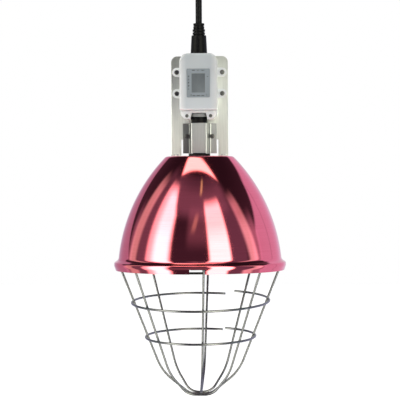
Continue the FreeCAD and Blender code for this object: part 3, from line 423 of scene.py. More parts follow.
# Inside of the box: circuit board on screws, with its relay, power supply and terminal block.
# The board is glass fibre with green lacquer, the parts on it are moulded plastic, and its screws
# are zinc-plated steel.
board_green = new_finish(
    "board_green", (0.010, 0.10, 0.035), (0.02, 0.16, 0.06), (0.25, 0.4),
    (0.0015, 0.0015, 0.0015), 0.00004)
component_plastic = new_finish(
    "component_plastic", (0.02, 0.05, 0.14), (0.03, 0.065, 0.17), (0.35, 0.45),
    (0.002, 0.002, 0.002), 0.00002)
terminal_plastic = new_finish(
    "terminal_plastic", (0.03, 0.17, 0.08), (0.04, 0.2, 0.1), (0.4, 0.5),
    (0.002, 0.002, 0.002), 0.00002)
zinc_fasteners = new_finish(
    "zinc_fasteners", (0.085, 0.085, 0.095), (0.13, 0.13, 0.14), (0.40, 0.50),
    (0.0006, 0.0006, 0.0006), 0.00001, metallic=1.0)
dress(board_green, "circuit_board")
dress(component_plastic, "power_relay", "power_supply")
dress(terminal_plastic, "terminal_block")
dress(zinc_fasteners, "board_screws")


# Screws of the box and of the clamp: zinc-plated pan heads with a cross recess.
# They are cold-headed steel. The ear and clamp screws go through the plate into nuts, and the
# cover screws into posts of the base.
HEAD_CROWN = 0.28
CROSS_HALF_WIDTH = 0.2
CROSS_REACH = 0.6
CROSS_TAPER = 0.07
CROSS_DEPTH = 0.62
HEAD_TURN = 0.9


def vertices_in(geom):
    """The vertices among the parts of a mesh."""
    return [item for item in geom if isinstance(item, bmesh.types.BMVert)]


def cross_screws(name, node, centres, head_radius, head_height, shank_radius):
    """Pan-head screws in place of a node's, with their heads to the front."""
    low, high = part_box(node)
    under = low.y + head_height
    bm = bmesh.new()
    bmesh.ops.create_grid(bm, x_segments=5, y_segments=5, size=head_radius)
    for vert in bm.verts:
        if vert.is_boundary:
            vert.co = vert.co.normalized() * head_radius
        vert.co.z = head_height * (1 - HEAD_CROWN * (vert.co.xy.length / head_radius) ** 2)
    arms = []
    for face in bm.faces:
        across, along = sorted(abs(value) / head_radius for value in face.calc_center_median().xy)
        if across < CROSS_HALF_WIDTH and along < CROSS_REACH:
            arms.append(face)
    rim = [edge for edge in bm.edges if edge.is_boundary]
    bmesh.ops.inset_region(bm, faces=arms, thickness=CROSS_TAPER * head_radius,
                           depth=-CROSS_DEPTH * head_height)
    for radius, height in ((head_radius, 0), (shank_radius, 0), (shank_radius, under - high.y)):
        new = bmesh.ops.extrude_edge_only(bm, edges=rim)["geom"]
        rim = [item for item in new if isinstance(item, bmesh.types.BMEdge)]
        for vert in vertices_in(new):
            vert.co.xy = vert.co.xy.normalized() * radius
            vert.co.z = height
    bmesh.ops.holes_fill(bm, edges=rim)
    bmesh.ops.recalc_face_normals(bm, faces=bm.faces[:])
    first = bm.verts[:] + bm.edges[:] + bm.faces[:]
    forwards = Matrix.Rotation(math.pi / 2, 4, "X")
    for count, (x, z) in enumerate(centres):
        copy = bmesh.ops.duplicate(bm, geom=first)["geom"]
        turned = forwards @ Matrix.Rotation(HEAD_TURN * count, 4, "Z")
        place = Matrix.Translation((x, under, z)) @ turned
        bmesh.ops.transform(bm, matrix=place, verts=vertices_in(copy))
    bmesh.ops.delete(bm, geom=vertices_in(first), context="VERTS")
    return settle(name, bm, [zinc_fasteners], "fixture", "zinc_fasteners", node)


EAR_HEAD_RADIUS = 0.0029
EAR_HEAD_HEIGHT = 0.0018
EAR_SHANK_RADIUS = 0.00195
COVER_HEAD_RADIUS = 0.0021
COVER_HEAD_HEIGHT = 0.0010
COVER_SHANK_RADIUS = 0.0012

ears_low, ears_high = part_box("ear_screws")
ear_x = ears_high.x - EAR_HEAD_RADIUS
ear_heights = (ears_low.z + EAR_HEAD_RADIUS, ears_high.z - EAR_HEAD_RADIUS)
cross_screws("ear_pan_screws", "ear_screws",
             [(side * ear_x, height) for side in (-1, 1) for height in ear_heights],
             EAR_HEAD_RADIUS, EAR_HEAD_HEIGHT, EAR_SHANK_RADIUS)
covers_low, covers_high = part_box("cover_screws")
cover_x = covers_high.x - COVER_HEAD_RADIUS
cover_height = (covers_low.z + covers_high.z) / 2
cross_screws("cover_pan_screws", "cover_screws",
             [(-cover_x, cover_height), (cover_x, cover_height)],
             COVER_HEAD_RADIUS, COVER_HEAD_HEIGHT, COVER_SHANK_RADIUS)
clamps_low, clamps_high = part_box("clamp_screws")
clamp_x = clamps_high.x - EAR_HEAD_RADIUS
clamp_screw_height = (clamps_low.z + clamps_high.z) / 2
cross_screws("clamp_pan_screws", "clamp_screws",
             [(-clamp_x, clamp_screw_height), (clamp_x, clamp_screw_height)],
             EAR_HEAD_RADIUS, EAR_HEAD_HEIGHT, EAR_SHANK_RADIUS)
dress(zinc_fasteners, "ear_nuts", "clamp_nuts")


# Hanger plate: stainless sheet, cut with two fork legs whose feet are bent forwards on the bowl.
# The box is screwed to it by its ears, and rivets through the feet carry the bowl. Its face is
# brushed and its cut edges are broken.
LEG_WIDTH = 0.0124
FORK_HEIGHT = 0.0213
PLATE_SHEET = 0.0015
PLATE_CORNER = 0.0075
BEND_RADIUS = 0.0026
EDGE_BREAK = 0.00022
CUT_EDGE_ANGLE = math.radians(50)
STEEL_METALLIC = 0.6
PAINTED_SHADE_DIRECTION = (0.50, 0.0, -0.866)
PAINTED_SHADE_START = 0.0943
PAINTED_SHADE_END = 0.1583
PAINTED_SHADE_DARKEST = 0.45
PAINTED_LIGHT_BRIGHTEST = 1.22

plate_low, plate_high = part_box("hanger_plate")
leg_inside = plate_high.x - LEG_WIDTH
fork_top = plate_low.z + FORK_HEIGHT

satin_steel = new_finish(
    "satin_steel", (0.58, 0.58, 0.61), (0.68, 0.68, 0.71), (0.28, 0.38),
    (0.0006, 0.0006, 0.03), 0.000004, metallic=STEEL_METALLIC)
plate_steel = new_finish(
    "plate_steel", (0.635, 0.655, 0.635), (0.735, 0.755, 0.735), (0.28, 0.38),
    (0.0006, 0.0006, 0.03), 0.000004, metallic=STEEL_METALLIC)
# Painted shade: the sheet's colour darkens towards its top left corner and lightens towards its
# feet.
shade_along(plate_steel, PAINTED_SHADE_DIRECTION, PAINTED_SHADE_START, PAINTED_SHADE_END, PAINTED_SHADE_DARKEST, PAINTED_LIGHT_BRIGHTEST)


def break_edges(piece, width):
    """Rounds a sheet piece's cut edges a little, and keeps its flat faces flat in the light."""
    bevel = piece.modifiers.new("broken_edges", "BEVEL")
    bevel.limit_method = "ANGLE"
    bevel.angle_limit = CUT_EDGE_ANGLE
    bevel.width = width
    bevel.segments = 2
    flat_faces = piece.modifiers.new("flat_faces", "WEIGHTED_NORMAL")
    flat_faces.keep_sharp = True


plate = bmesh.new()
plate_outline = [
    (plate_low.x, plate_low.z), (-leg_inside, plate_low.z), (-leg_inside, fork_top),
    (leg_inside, fork_top), (leg_inside, plate_low.z), (plate_high.x, plate_low.z),
    (plate_high.x, plate_high.z), (plate_low.x, plate_high.z),
]
corners = [plate.verts.new((x, plate_high.y, z)) for x, z in plate_outline]
plate.faces.new(corners)
bmesh.ops.bevel(plate, geom=corners[-2:], affect="VERTICES", offset=PLATE_CORNER, segments=10,
                profile=0.5, material=-1)
bends = []
for edge in plate.edges:
    if all(vert.co.z < plate_low.z + EDGE_BREAK for vert in edge.verts):
        bends.append(edge)
feet = bmesh.ops.extrude_edge_only(plate, edges=bends)["geom"]
foot_reach = plate_low.y - plate_high.y
bmesh.ops.translate(plate, verts=vertices_in(feet), vec=(0, foot_reach, 0))
bmesh.ops.bevel(plate, geom=bends, affect="EDGES", offset=BEND_RADIUS, segments=5, profile=0.5,
                material=-1)
bmesh.ops.recalc_face_normals(plate, faces=plate.faces[:])
bmesh.ops.solidify(plate, geom=plate.faces[:], thickness=PLATE_SHEET)
plate_piece = settle("forked_plate", plate, [plate_steel], "fixture", "satin_steel", "hanger_plate")
break_edges(plate_piece, EDGE_BREAK)
dress(satin_steel, "foot_rivets")


# Clamp bracket: a hat section bent from the same sheet, over the tube of the lamp lead's boot.
# Two screws through its flanges press it against the plate.
CLAMP_SHEET = 0.0015
CLAMP_FRONT_HALF = 0.0100
CLAMP_FOOT_HALF = 0.0125
CLAMP_BEND = 0.0016
CLAMP_SIDE_SLOPE = 0.75
CLAMP_LEFT_PAINTED_SHADE = 0.42
CLAMP_RIGHT_PAINTED_LIGHT = 1.16

clamp_low, clamp_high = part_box("clamp_bracket")
flange_front = clamp_high.y - CLAMP_SHEET

# Painted shade: the clamp's steel is darker than the plate's, darker still on its left flange and
# lighter on its right one.
clamp_steel = new_finish(
    "clamp_steel", (0.40, 0.41, 0.43), (0.45, 0.46, 0.48), (0.30, 0.40),
    (0.0006, 0.0006, 0.02), 0.000003, metallic=STEEL_METALLIC)
shade_along(clamp_steel, RIGHTWARDS, -CLAMP_FOOT_HALF, -CLAMP_FRONT_HALF, CLAMP_LEFT_PAINTED_SHADE, 1.0)
shade_along(clamp_steel, RIGHTWARDS, CLAMP_FRONT_HALF, CLAMP_FOOT_HALF, 1.0, CLAMP_RIGHT_PAINTED_LIGHT)
# Painted shade: the bent sides get a darker copy of the clamp's steel.
clamp_side_painted_shade = new_finish(
    "clamp_side_painted_shade", (0.15, 0.15, 0.16), (0.20, 0.20, 0.21), (0.36, 0.46),
    (0.0006, 0.0006, 0.02), 0.000003, metallic=1.0)
clamp = bmesh.new()
hat = [
    (clamp_low.x, flange_front), (-CLAMP_FOOT_HALF, flange_front), (-CLAMP_FRONT_HALF, clamp_low.y),
    (CLAMP_FRONT_HALF, clamp_low.y), (CLAMP_FOOT_HALF, flange_front), (clamp_high.x, flange_front),
]
hat_corners = [clamp.verts.new((x, y, clamp_low.z)) for x, y in hat]
for pair in zip(hat_corners, hat_corners[1:]):
    clamp.edges.new(pair)
bmesh.ops.bevel(clamp, geom=hat_corners[1:-1], affect="VERTICES", offset=CLAMP_BEND, segments=5,
                profile=0.5, material=-1)
raised = bmesh.ops.extrude_edge_only(clamp, edges=clamp.edges[:])["geom"]
bmesh.ops.translate(clamp, verts=vertices_in(raised), vec=(0, 0, clamp_high.z - clamp_low.z))
bmesh.ops.recalc_face_normals(clamp, faces=clamp.faces[:])
if sum(face.normal.y * face.calc_area() for face in clamp.faces) > 0:
    bmesh.ops.reverse_faces(clamp, faces=clamp.faces[:])
bmesh.ops.solidify(clamp, geom=clamp.faces[:], thickness=CLAMP_SHEET)
# Faces that face sideways take the painted shade.
for face in clamp.faces:
    face.material_index = 1 if abs(face.normal.x) > CLAMP_SIDE_SLOPE else 0
clamp_piece = settle("hat_clamp", clamp, [clamp_steel, clamp_side_painted_shade], "fixture", "satin_steel",
                     "clamp_bracket")
break_edges(clamp_piece, EDGE_BREAK)


# Lamp lead: black cord with a moulded boot whose tube the clamp holds, a grey outlet collar above
# it inside the terminal chamber, and a black lock ring below that holds the lampholder in the bowl.
COLLAR_TAPER = 0.92
COLLAR_ROUND = 0.0030
COLLAR_WALL = 0.0034

collar_low, collar_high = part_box("outlet_collar")
collar_plastic = new_finish(
    "collar_plastic", (0.225, 0.235, 0.240), (0.265, 0.275, 0.280), (0.5, 0.6),
    (0.002, 0.002, 0.002), 0.00003)
collar = bmesh.new()
bmesh.ops.create_grid(collar, x_segments=1, y_segments=1, size=collar_high.x,
                      matrix=Matrix.Translation((0, 0, collar_low.z)))
bmesh.ops.bevel(collar, geom=collar.verts[:], affect="VERTICES", offset=COLLAR_ROUND, segments=6,
                profile=0.5, material=-1)
bore = collar.faces[:]
bmesh.ops.inset_region(collar, faces=bore, thickness=COLLAR_WALL, use_boundary=True,
                       use_even_offset=True)
bmesh.ops.delete(collar, geom=bore, context="FACES")
collar_top = vertices_in(bmesh.ops.extrude_face_region(collar, geom=collar.faces[:])["geom"])
bmesh.ops.translate(collar, verts=collar_top, vec=(0, 0, collar_high.z - collar_low.z))
bmesh.ops.scale(collar, verts=collar_top, vec=(COLLAR_TAPER, 1, 1))
bmesh.ops.recalc_face_normals(collar, faces=collar.faces[:])
settle("tapered_collar", collar, [collar_plastic], "fixture", "grey_plastic", "outlet_collar")
dress(cord_sheath, "lamp_lead")
dress(boot_rubber, "lamp_boot")
dress(black_plastic, "lock_ring")


# Reflector: a bowl spun from aluminium sheet and lacquered in clear pink on the outside.
# Its rim flares into a bead and turns down into a lip. A notch in the lip at the front takes
# the foot of a guard wire. The inside is bright bare metal.
BOWL_SHEET = 0.0008
NECK_RADIUS = 0.0106
CROWN_RADIUS = 0.0420
CROWN_ROUND = 0.0022
DOME_RADIUS = 0.2120
DOME_AXIS_X = -0.1090
DOME_AXIS_DROP = 0.1488
DOME_TOP_ANGLE = math.radians(43.6)
DOME_LOW_ANGLE = math.radians(6.6)
DOME_STEPS = 40
WALL_RADIUS = 0.1020
WALL_DROP = 0.1284
FLARE_ROUND = 0.0022
BEAD_DROP = 0.1322
BEAD_HEIGHT = 0.0040
BEAD_ROUND = 0.0013
LIP_RADIUS = 0.1055
NOTCH_LEFT = -0.0080
NOTCH_RIGHT = 0.0104
NOTCH_HEIGHT = 0.0056
BOWL_STEPS = 240
LACQUER_TINT = (0.85, 0.40, 0.50, 1)
LACQUER_COAT = 0.8
LACQUER_COAT_ROUGHNESS = 0.05

bowl_low, bowl_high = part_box("reflector")
bowl_top = bowl_high.z

pink_aluminium = new_finish(
    "pink_aluminium", (0.63, 0.100, 0.150), (0.68, 0.115, 0.172), (0.06, 0.09),
    (0.05, 0.05, 0.0011), 0.0000012, metallic=1.0)
pink_shader = shader_of(pink_aluminium)
pink_shader.inputs["Specular Tint"].default_value = LACQUER_TINT
pink_shader.inputs["Coat Weight"].default_value = LACQUER_COAT
pink_shader.inputs["Coat Roughness"].default_value = LACQUER_COAT_ROUGHNESS
bright_aluminium = new_finish(
    "bright_aluminium", (0.72, 0.72, 0.71), (0.82, 0.82, 0.81), (0.16, 0.24),
    (0.05, 0.05, 0.0012), 0.000002, metallic=1.0)

bowl = bmesh.new()
dome_start = bowl.verts.new((
    DOME_AXIS_X + DOME_RADIUS * math.cos(DOME_TOP_ANGLE), 0,
    bowl_top - DOME_AXIS_DROP + DOME_RADIUS * math.sin(DOME_TOP_ANGLE)))
dome = bmesh.ops.spin(
    bowl, geom=[dome_start], cent=(DOME_AXIS_X, 0, bowl_top - DOME_AXIS_DROP), axis=(0, 1, 0),
    angle=DOME_TOP_ANGLE - DOME_LOW_ANGLE, steps=DOME_STEPS)
dome_end = dome["geom_last"][0]
crown_edge = bowl.verts.new((CROWN_RADIUS, 0, bowl_top))
neck_edge = bowl.verts.new((NECK_RADIUS, 0, bowl_top))
wall_foot = bowl.verts.new((WALL_RADIUS, 0, bowl_top - WALL_DROP))
bead_top = bowl.verts.new((bowl_high.x, 0, bowl_top - BEAD_DROP))
bead_foot = bowl.verts.new((bowl_high.x, 0, bowl_top - BEAD_DROP - BEAD_HEIGHT))
lip = bowl.verts.new((LIP_RADIUS, 0, bowl_low.z))
for pair in ((neck_edge, crown_edge), (crown_edge, dome_start), (dome_end, wall_foot),
             (wall_foot, bead_top), (bead_top, bead_foot), (bead_foot, lip)):
    bowl.edges.new(pair)
for corner, rounding in ((crown_edge, CROWN_ROUND), (wall_foot, FLARE_ROUND),
                         (bead_top, BEAD_ROUND), (bead_foot, BEAD_ROUND)):
    bmesh.ops.bevel(bowl, geom=[corner], affect="VERTICES", offset=rounding, segments=6,
                    profile=0.5, material=-1)
turn(bowl, BOWL_STEPS)
notch_top = bowl_low.z + NOTCH_HEIGHT
for point, normal in (((NOTCH_LEFT, 0, 0), (1, 0, 0)), ((NOTCH_RIGHT, 0, 0), (1, 0, 0)),
                      ((0, 0, notch_top), (0, 0, 1))):
    near = []
    for face in bowl.faces:
        middle = face.calc_center_median()
        if middle.y < -LIP_RADIUS / 2 and middle.z < notch_top + BEAD_HEIGHT:
            near.append(face)
    around = near + list({edge for face in near for edge in face.edges})
    around += list({vert for face in near for vert in face.verts})
    bmesh.ops.bisect_plane(bowl, geom=around, plane_co=point, plane_no=normal)
gap = []
for face in bowl.faces:
    middle = face.calc_center_median()
    if NOTCH_LEFT < middle.x < NOTCH_RIGHT and middle.y < 0 and middle.z < notch_top:
        gap.append(face)
bmesh.ops.delete(bowl, geom=gap, context="FACES")
bmesh.ops.recalc_face_normals(bowl, faces=bowl.faces[:])
if sum(face.normal.dot(Vector((*face.calc_center_median().xy, 0))) for face in bowl.faces) < 0:
    bmesh.ops.reverse_faces(bowl, faces=bowl.faces[:])
bmesh.ops.solidify(bowl, geom=bowl.faces[:], thickness=BOWL_SHEET)
for face in bowl.faces:
    middle = face.calc_center_median()
    outward = Vector((*middle.xy, 0)) if middle.z < bowl_top - BOWL_SHEET else Vector((0, 0, 1))
    face.material_index = 0 if face.normal.dot(outward) > 0 else 1
settle("spun_bowl", bowl, [pink_aluminium, bright_aluminium], "fixture", "pink_aluminium",
       "reflector")


# Lampholder: glazed porcelain body with a threaded brass shell and a sprung centre contact.
# The lock ring clamps it in the neck of the bowl.
porcelain = new_finish(
    "porcelain", (0.76, 0.755, 0.73), (0.83, 0.825, 0.80), (0.12, 0.2),
    (0.004, 0.004, 0.004), 0.00002)
brass = new_finish(
    "brass", (0.62, 0.42, 0.16), (0.70, 0.50, 0.22), (0.2, 0.34),
    (0.002, 0.002, 0.002), 0.00001, metallic=1.0)
dress(porcelain, "lampholder_body")
dress(brass, "lampholder_shell", "centre_contact")


# Heat bulb: pressed glass cup silvered inside, red glass lens, screw cap and tungsten filament.
# The lens is stippled so that it spreads the heat, and the cap is bare aluminium with a brass
# contact at its end.
SILVER_COAT = 1.0
LENS_STIPPLE = 0.0032
LENS_TRANSMISSION = 0.35
LENS_COAT = 0.2
LENS_SPECULAR = 0.3

cap_aluminium = new_finish(
    "cap_aluminium", (0.60, 0.60, 0.59), (0.70, 0.70, 0.69), (0.25, 0.36),
    (0.002, 0.002, 0.002), 0.00001, metallic=1.0)
silvered_glass = new_finish(
    "silvered_glass", (0.66, 0.67, 0.67), (0.76, 0.77, 0.77), (0.06, 0.12),
    (0.01, 0.01, 0.01), 0.00002, metallic=1.0)
shader_of(silvered_glass).inputs["Coat Weight"].default_value = SILVER_COAT
red_glass = new_finish(
    "red_glass", (0.32, 0.004, 0.006), (0.42, 0.007, 0.009), (0.05, 0.1),
    (LENS_STIPPLE, LENS_STIPPLE, LENS_STIPPLE), 0.0004)
red_shader = shader_of(red_glass)
red_shader.inputs["Transmission Weight"].default_value = LENS_TRANSMISSION
red_shader.inputs["Coat Weight"].default_value = LENS_COAT
red_shader.inputs["Specular IOR Level"].default_value = LENS_SPECULAR
tungsten = new_finish(
    "tungsten", (0.22, 0.22, 0.22), (0.30, 0.30, 0.30), (0.3, 0.45),
    (0.0005, 0.0005, 0.0005), 0.00001, metallic=1.0)
dress(brass, "bulb_contact")
dress(cap_aluminium, "bulb_cap")
dress(silvered_glass, "bulb_cup")
dress(red_glass, "bulb_lens")
dress(tungsten, "bulb_filament")


# Guard: two bent wires that cross below the bulb, a bow in front and one behind, and two rings.
# The wire is bright nickel-plated steel, and the open rings are welded to it. Its feet spring
# into the bowl's rim, so it can be swivelled and taken off.
bright_wire = new_finish(
    "bright_wire", (0.126, 0.127, 0.145), (0.166, 0.167, 0.190), (0.26, 0.34),
    (0.003, 0.003, 0.003), 0.00001, metallic=1.0)
dress(bright_wire, "guard_wire_1", "guard_wire_2", "guard_wire_3", "guard_wire_4",
      "guard_ring_upper", "guard_ring_lower")

# The front wire has a second foot, which shows in the notch of the bowl's lip.
# Its finish is painted near-black for the shade in that notch.
FOOT_WIRE_RADIUS = 0.0014
FOOT_RADIUS = 0.1029
FOOT_RISE = 0.0014
FOOT_START = math.radians(-4.4)
FOOT_RUN = math.radians(9.3)
FOOT_STEPS = 12
FOOT_SIDES = 12

foot_wire_painted_shade = new_finish(
    "foot_wire_painted_shade", (0.022, 0.022, 0.024), (0.032, 0.032, 0.035), (0.30, 0.40),
    (0.003, 0.003, 0.003), 0.00001, metallic=1.0)
notch_foot = bmesh.new()
foot_end = (Matrix.Rotation(FOOT_START, 4, "Z")
            @ Matrix.Translation((0, -FOOT_RADIUS, bowl_low.z + FOOT_RISE)))
bmesh.ops.create_circle(notch_foot, cap_ends=True, segments=FOOT_SIDES, radius=FOOT_WIRE_RADIUS,
                        matrix=foot_end @ Matrix.Rotation(math.pi / 2, 4, "Y"))
bmesh.ops.spin(notch_foot, geom=notch_foot.verts[:] + notch_foot.edges[:] + notch_foot.faces[:],
               cent=(0, 0, 0), axis=(0, 0, 1), angle=FOOT_RUN, steps=FOOT_STEPS)
bmesh.ops.recalc_face_normals(notch_foot, faces=notch_foot.faces[:])
settle("guard_notch_foot", notch_foot, [foot_wire_painted_shade], "guard", "bright_wire")


# Studio: a pale floor and five soft lamps round the object, which light its dull surfaces.
# Bright pieces mirror a dim room instead, with a white wall behind, two tall soft boxes in front,
# a narrow pale card at each side and a warm light overhead.
FLOOR_LEVEL = -0.95
FLOOR_HALF = 8.0
FLOOR_GLOW = 0.80
FILL = 0.34
ROOM_DARK = (0.030, 0.028, 0.036)
LAMP_DISTANCE = 2.2
CEILING_LOWEST = 0.05
WALL_TOP_SOFTNESS = 2.5
WALL_SIDE_SOFTNESS = 3.0
LEFT_BOX_BEND = 38.0
LEFT_BOX_SLOPE = 0.7
LEFT_BOX_EDGE = -42.5
LEFT_BOX_SOFTNESS = 5.0

floor_finish = new_finish(
    "studio_floor", (0.80, 0.80, 0.80), (0.84, 0.84, 0.84), (0.7, 0.8), (0.5, 0.5, 0.5), 0.0)
floor_tree = floor_finish.node_tree
floor_shader = shader_of(floor_finish)
floor_shader.inputs["Emission Color"].default_value = (1, 1, 1, 1)
floor_path = floor_tree.nodes.new("ShaderNodeLightPath")
floor_glow = spread(floor_tree, floor_path.outputs["Is Camera Ray"], 0, FLOOR_GLOW, 0, 1)
floor_tree.links.new(floor_glow, floor_shader.inputs["Emission Strength"])
floor_side = floor_tree.nodes.new("ShaderNodeNewGeometry")
floor_clear = floor_tree.nodes.new("ShaderNodeBsdfTransparent")
floor_mix = floor_tree.nodes.new("ShaderNodeMixShader")
floor_tree.links.new(floor_side.outputs["Backfacing"], floor_mix.inputs["Fac"])
floor_tree.links.new(floor_shader.outputs["BSDF"], floor_mix.inputs[1])
floor_tree.links.new(floor_clear.outputs["BSDF"], floor_mix.inputs[2])
floor_tree.links.new(floor_mix.outputs["Shader"],
                     floor_tree.nodes["Material Output"].inputs["Surface"])
floor_mesh = bpy.data.meshes.new("studio_floor")
floor_bm = bmesh.new()
bmesh.ops.create_grid(floor_bm, x_segments=1, y_segments=1, size=FLOOR_HALF,
                      matrix=Matrix.Translation((0, 0, FLOOR_LEVEL)))
floor_bm.to_mesh(floor_mesh)
floor_bm.free()
floor_mesh.materials.append(floor_finish)
floor = linked("studio_floor", floor_mesh)
floor.visible_glossy = False


def soft_lamp(name, azimuth, elevation, width, height, radiance, colour):
    """An area light that faces the bowl, for dull surfaces only."""
    lamp = bpy.data.lights.new(name, "AREA")
    lamp.shape = "RECTANGLE"
    lamp.size, lamp.size_y = width, height
    lamp.energy = radiance * math.pi * width * height
    lamp.color = colour
    stand = linked(name, lamp)
    turned = math.radians(azimuth)
    raised = math.radians(elevation)
    towards = Vector((math.sin(turned) * math.cos(raised), -math.cos(turned) * math.cos(raised),
                      math.sin(raised)))
    stand.location = Vector((0, 0, bowl_top - WALL_DROP / 2)) + LAMP_DISTANCE * towards
    stand.rotation_euler = towards.to_track_quat("Z", "Y").to_euler()
    stand.visible_camera = False
    stand.visible_glossy = False


soft_lamp("lamp_left", -54, 24, 1.5, 3.0, 1.7, (1.0, 0.99, 0.98))
soft_lamp("lamp_right", 24, 18, 1.1, 3.0, 2.0, (1.0, 0.99, 0.98))
soft_lamp("lamp_top", 0, 80, 1.3, 1.3, 2.0, (1.0, 0.97, 0.94))
soft_lamp("lamp_behind", 160, 35, 2.0, 2.0, 1.1, (1.0, 1.0, 1.0))
soft_lamp("lamp_low", 0, -42, 1.6, 1.2, 1.1, (1.0, 1.0, 1.0))

world = bpy.data.worlds.new("studio")
bpy.context.scene.world = world
world.use_nodes = True
sky = world.node_tree
sky.nodes.clear()


def reckon(operation, first, second=0.0):
    """A number of the sky from two, each a socket or a plain number."""
    step = sky.nodes.new("ShaderNodeMath")
    step.operation = operation
    for socket, value in zip(step.inputs, (first, second)):
        if isinstance(value, bpy.types.NodeSocket):
            sky.links.new(value, socket)
        else:
            socket.default_value = value
    return step.outputs["Value"]


def soft_edge(value, edge, softness):
    """Runs from zero to one across an edge, or from one to zero where softness is negative."""
    step = sky.nodes.new("ShaderNodeMapRange")
    step.interpolation_type = "SMOOTHSTEP"
    step.inputs["From Min"].default_value = -abs(softness)
    step.inputs["From Max"].default_value = abs(softness)
    step.inputs["To Min"].default_value = 0 if softness > 0 else 1
    step.inputs["To Max"].default_value = 1 if softness > 0 else 0
    sky.links.new(reckon("SUBTRACT", value, edge), step.inputs["Value"])
    return step.outputs["Result"]


def between(value, low, high, softness):
    """One between two edges and zero outside them."""
    return reckon("MULTIPLY", soft_edge(value, low, softness), soft_edge(value, high, -softness))


look = sky.nodes.new("ShaderNodeTexCoord")
look_axes = sky.nodes.new("ShaderNodeSeparateXYZ")
sky.links.new(look.outputs["Generated"], look_axes.inputs["Vector"])
look_x, look_y, look_z = look_axes.outputs
degree = 180 / math.pi
azimuth = reckon("MULTIPLY", reckon("ARCTAN2", look_x, reckon("MULTIPLY", look_y, -1.0)), degree)
elevation = reckon("MULTIPLY", reckon("ARCSINE", look_z), degree)
above = reckon("MAXIMUM", look_z, CEILING_LOWEST)
ceiling_x = reckon("DIVIDE", look_x, above)
ceiling_y = reckon("DIVIDE", look_y, above)


def box_window(left, right, low, high, side_softness, end_softness, lean=0.0):
    """A window of the room, in degrees round and up, which may lean away from the level."""
    turned = reckon("SUBTRACT", azimuth, reckon("MULTIPLY", reckon("ABSOLUTE", elevation), lean))
    return reckon("MULTIPLY", between(turned, left, right, side_softness),
                  between(elevation, low, high, end_softness))


def wall_window(side, start, start_height, steepness, top):
    """The white wall on one side: its top edge climbs from the start to its full height."""
    turned = reckon("MULTIPLY", azimuth, side)
    rise = reckon("MULTIPLY", reckon("SUBTRACT", turned, start), steepness)
    climb = reckon("MINIMUM", reckon("ADD", rise, start_height), top)
    below = soft_edge(reckon("SUBTRACT", elevation, climb), 0.0, -WALL_TOP_SOFTNESS)
    return reckon("MULTIPLY", below, soft_edge(turned, start, WALL_SIDE_SOFTNESS))


# The overhead light's four edges, as shares of x and y on the ceiling, place and softness.
OVERHEAD_EDGES = [
    (1.0, -0.57, -0.352, 0.06),
    (1.0, 2.05, -0.030, -0.10),
    (0.15, 1.0, -0.255, 0.035),
    (0.0, 1.0, -0.245, 0.025),
]
overhead = 1.0
for x_share, y_share, edge, softness in OVERHEAD_EDGES:
    across = reckon("ADD", reckon("MULTIPLY", ceiling_x, x_share),
                    reckon("MULTIPLY", ceiling_y, y_share))
    overhead = reckon("MULTIPLY", soft_edge(across, edge, softness), overhead)

# The left soft box narrows towards its top, on the side next to the middle.
left_box_rise = reckon("MAXIMUM", reckon("SUBTRACT", elevation, LEFT_BOX_BEND), 0.0)
left_box_slant = reckon("ADD", azimuth, reckon("MULTIPLY", left_box_rise, LEFT_BOX_SLOPE))
left_box_side = soft_edge(left_box_slant, LEFT_BOX_EDGE, -LEFT_BOX_SOFTNESS)
left_box_wide = reckon("MULTIPLY", box_window(-80.5, -38, -60, 53, 4, 6, 0.06), left_box_side)
left_box_core = reckon("MULTIPLY", box_window(-70, -38, -60, 53, 7, 7, 0.06), left_box_side)

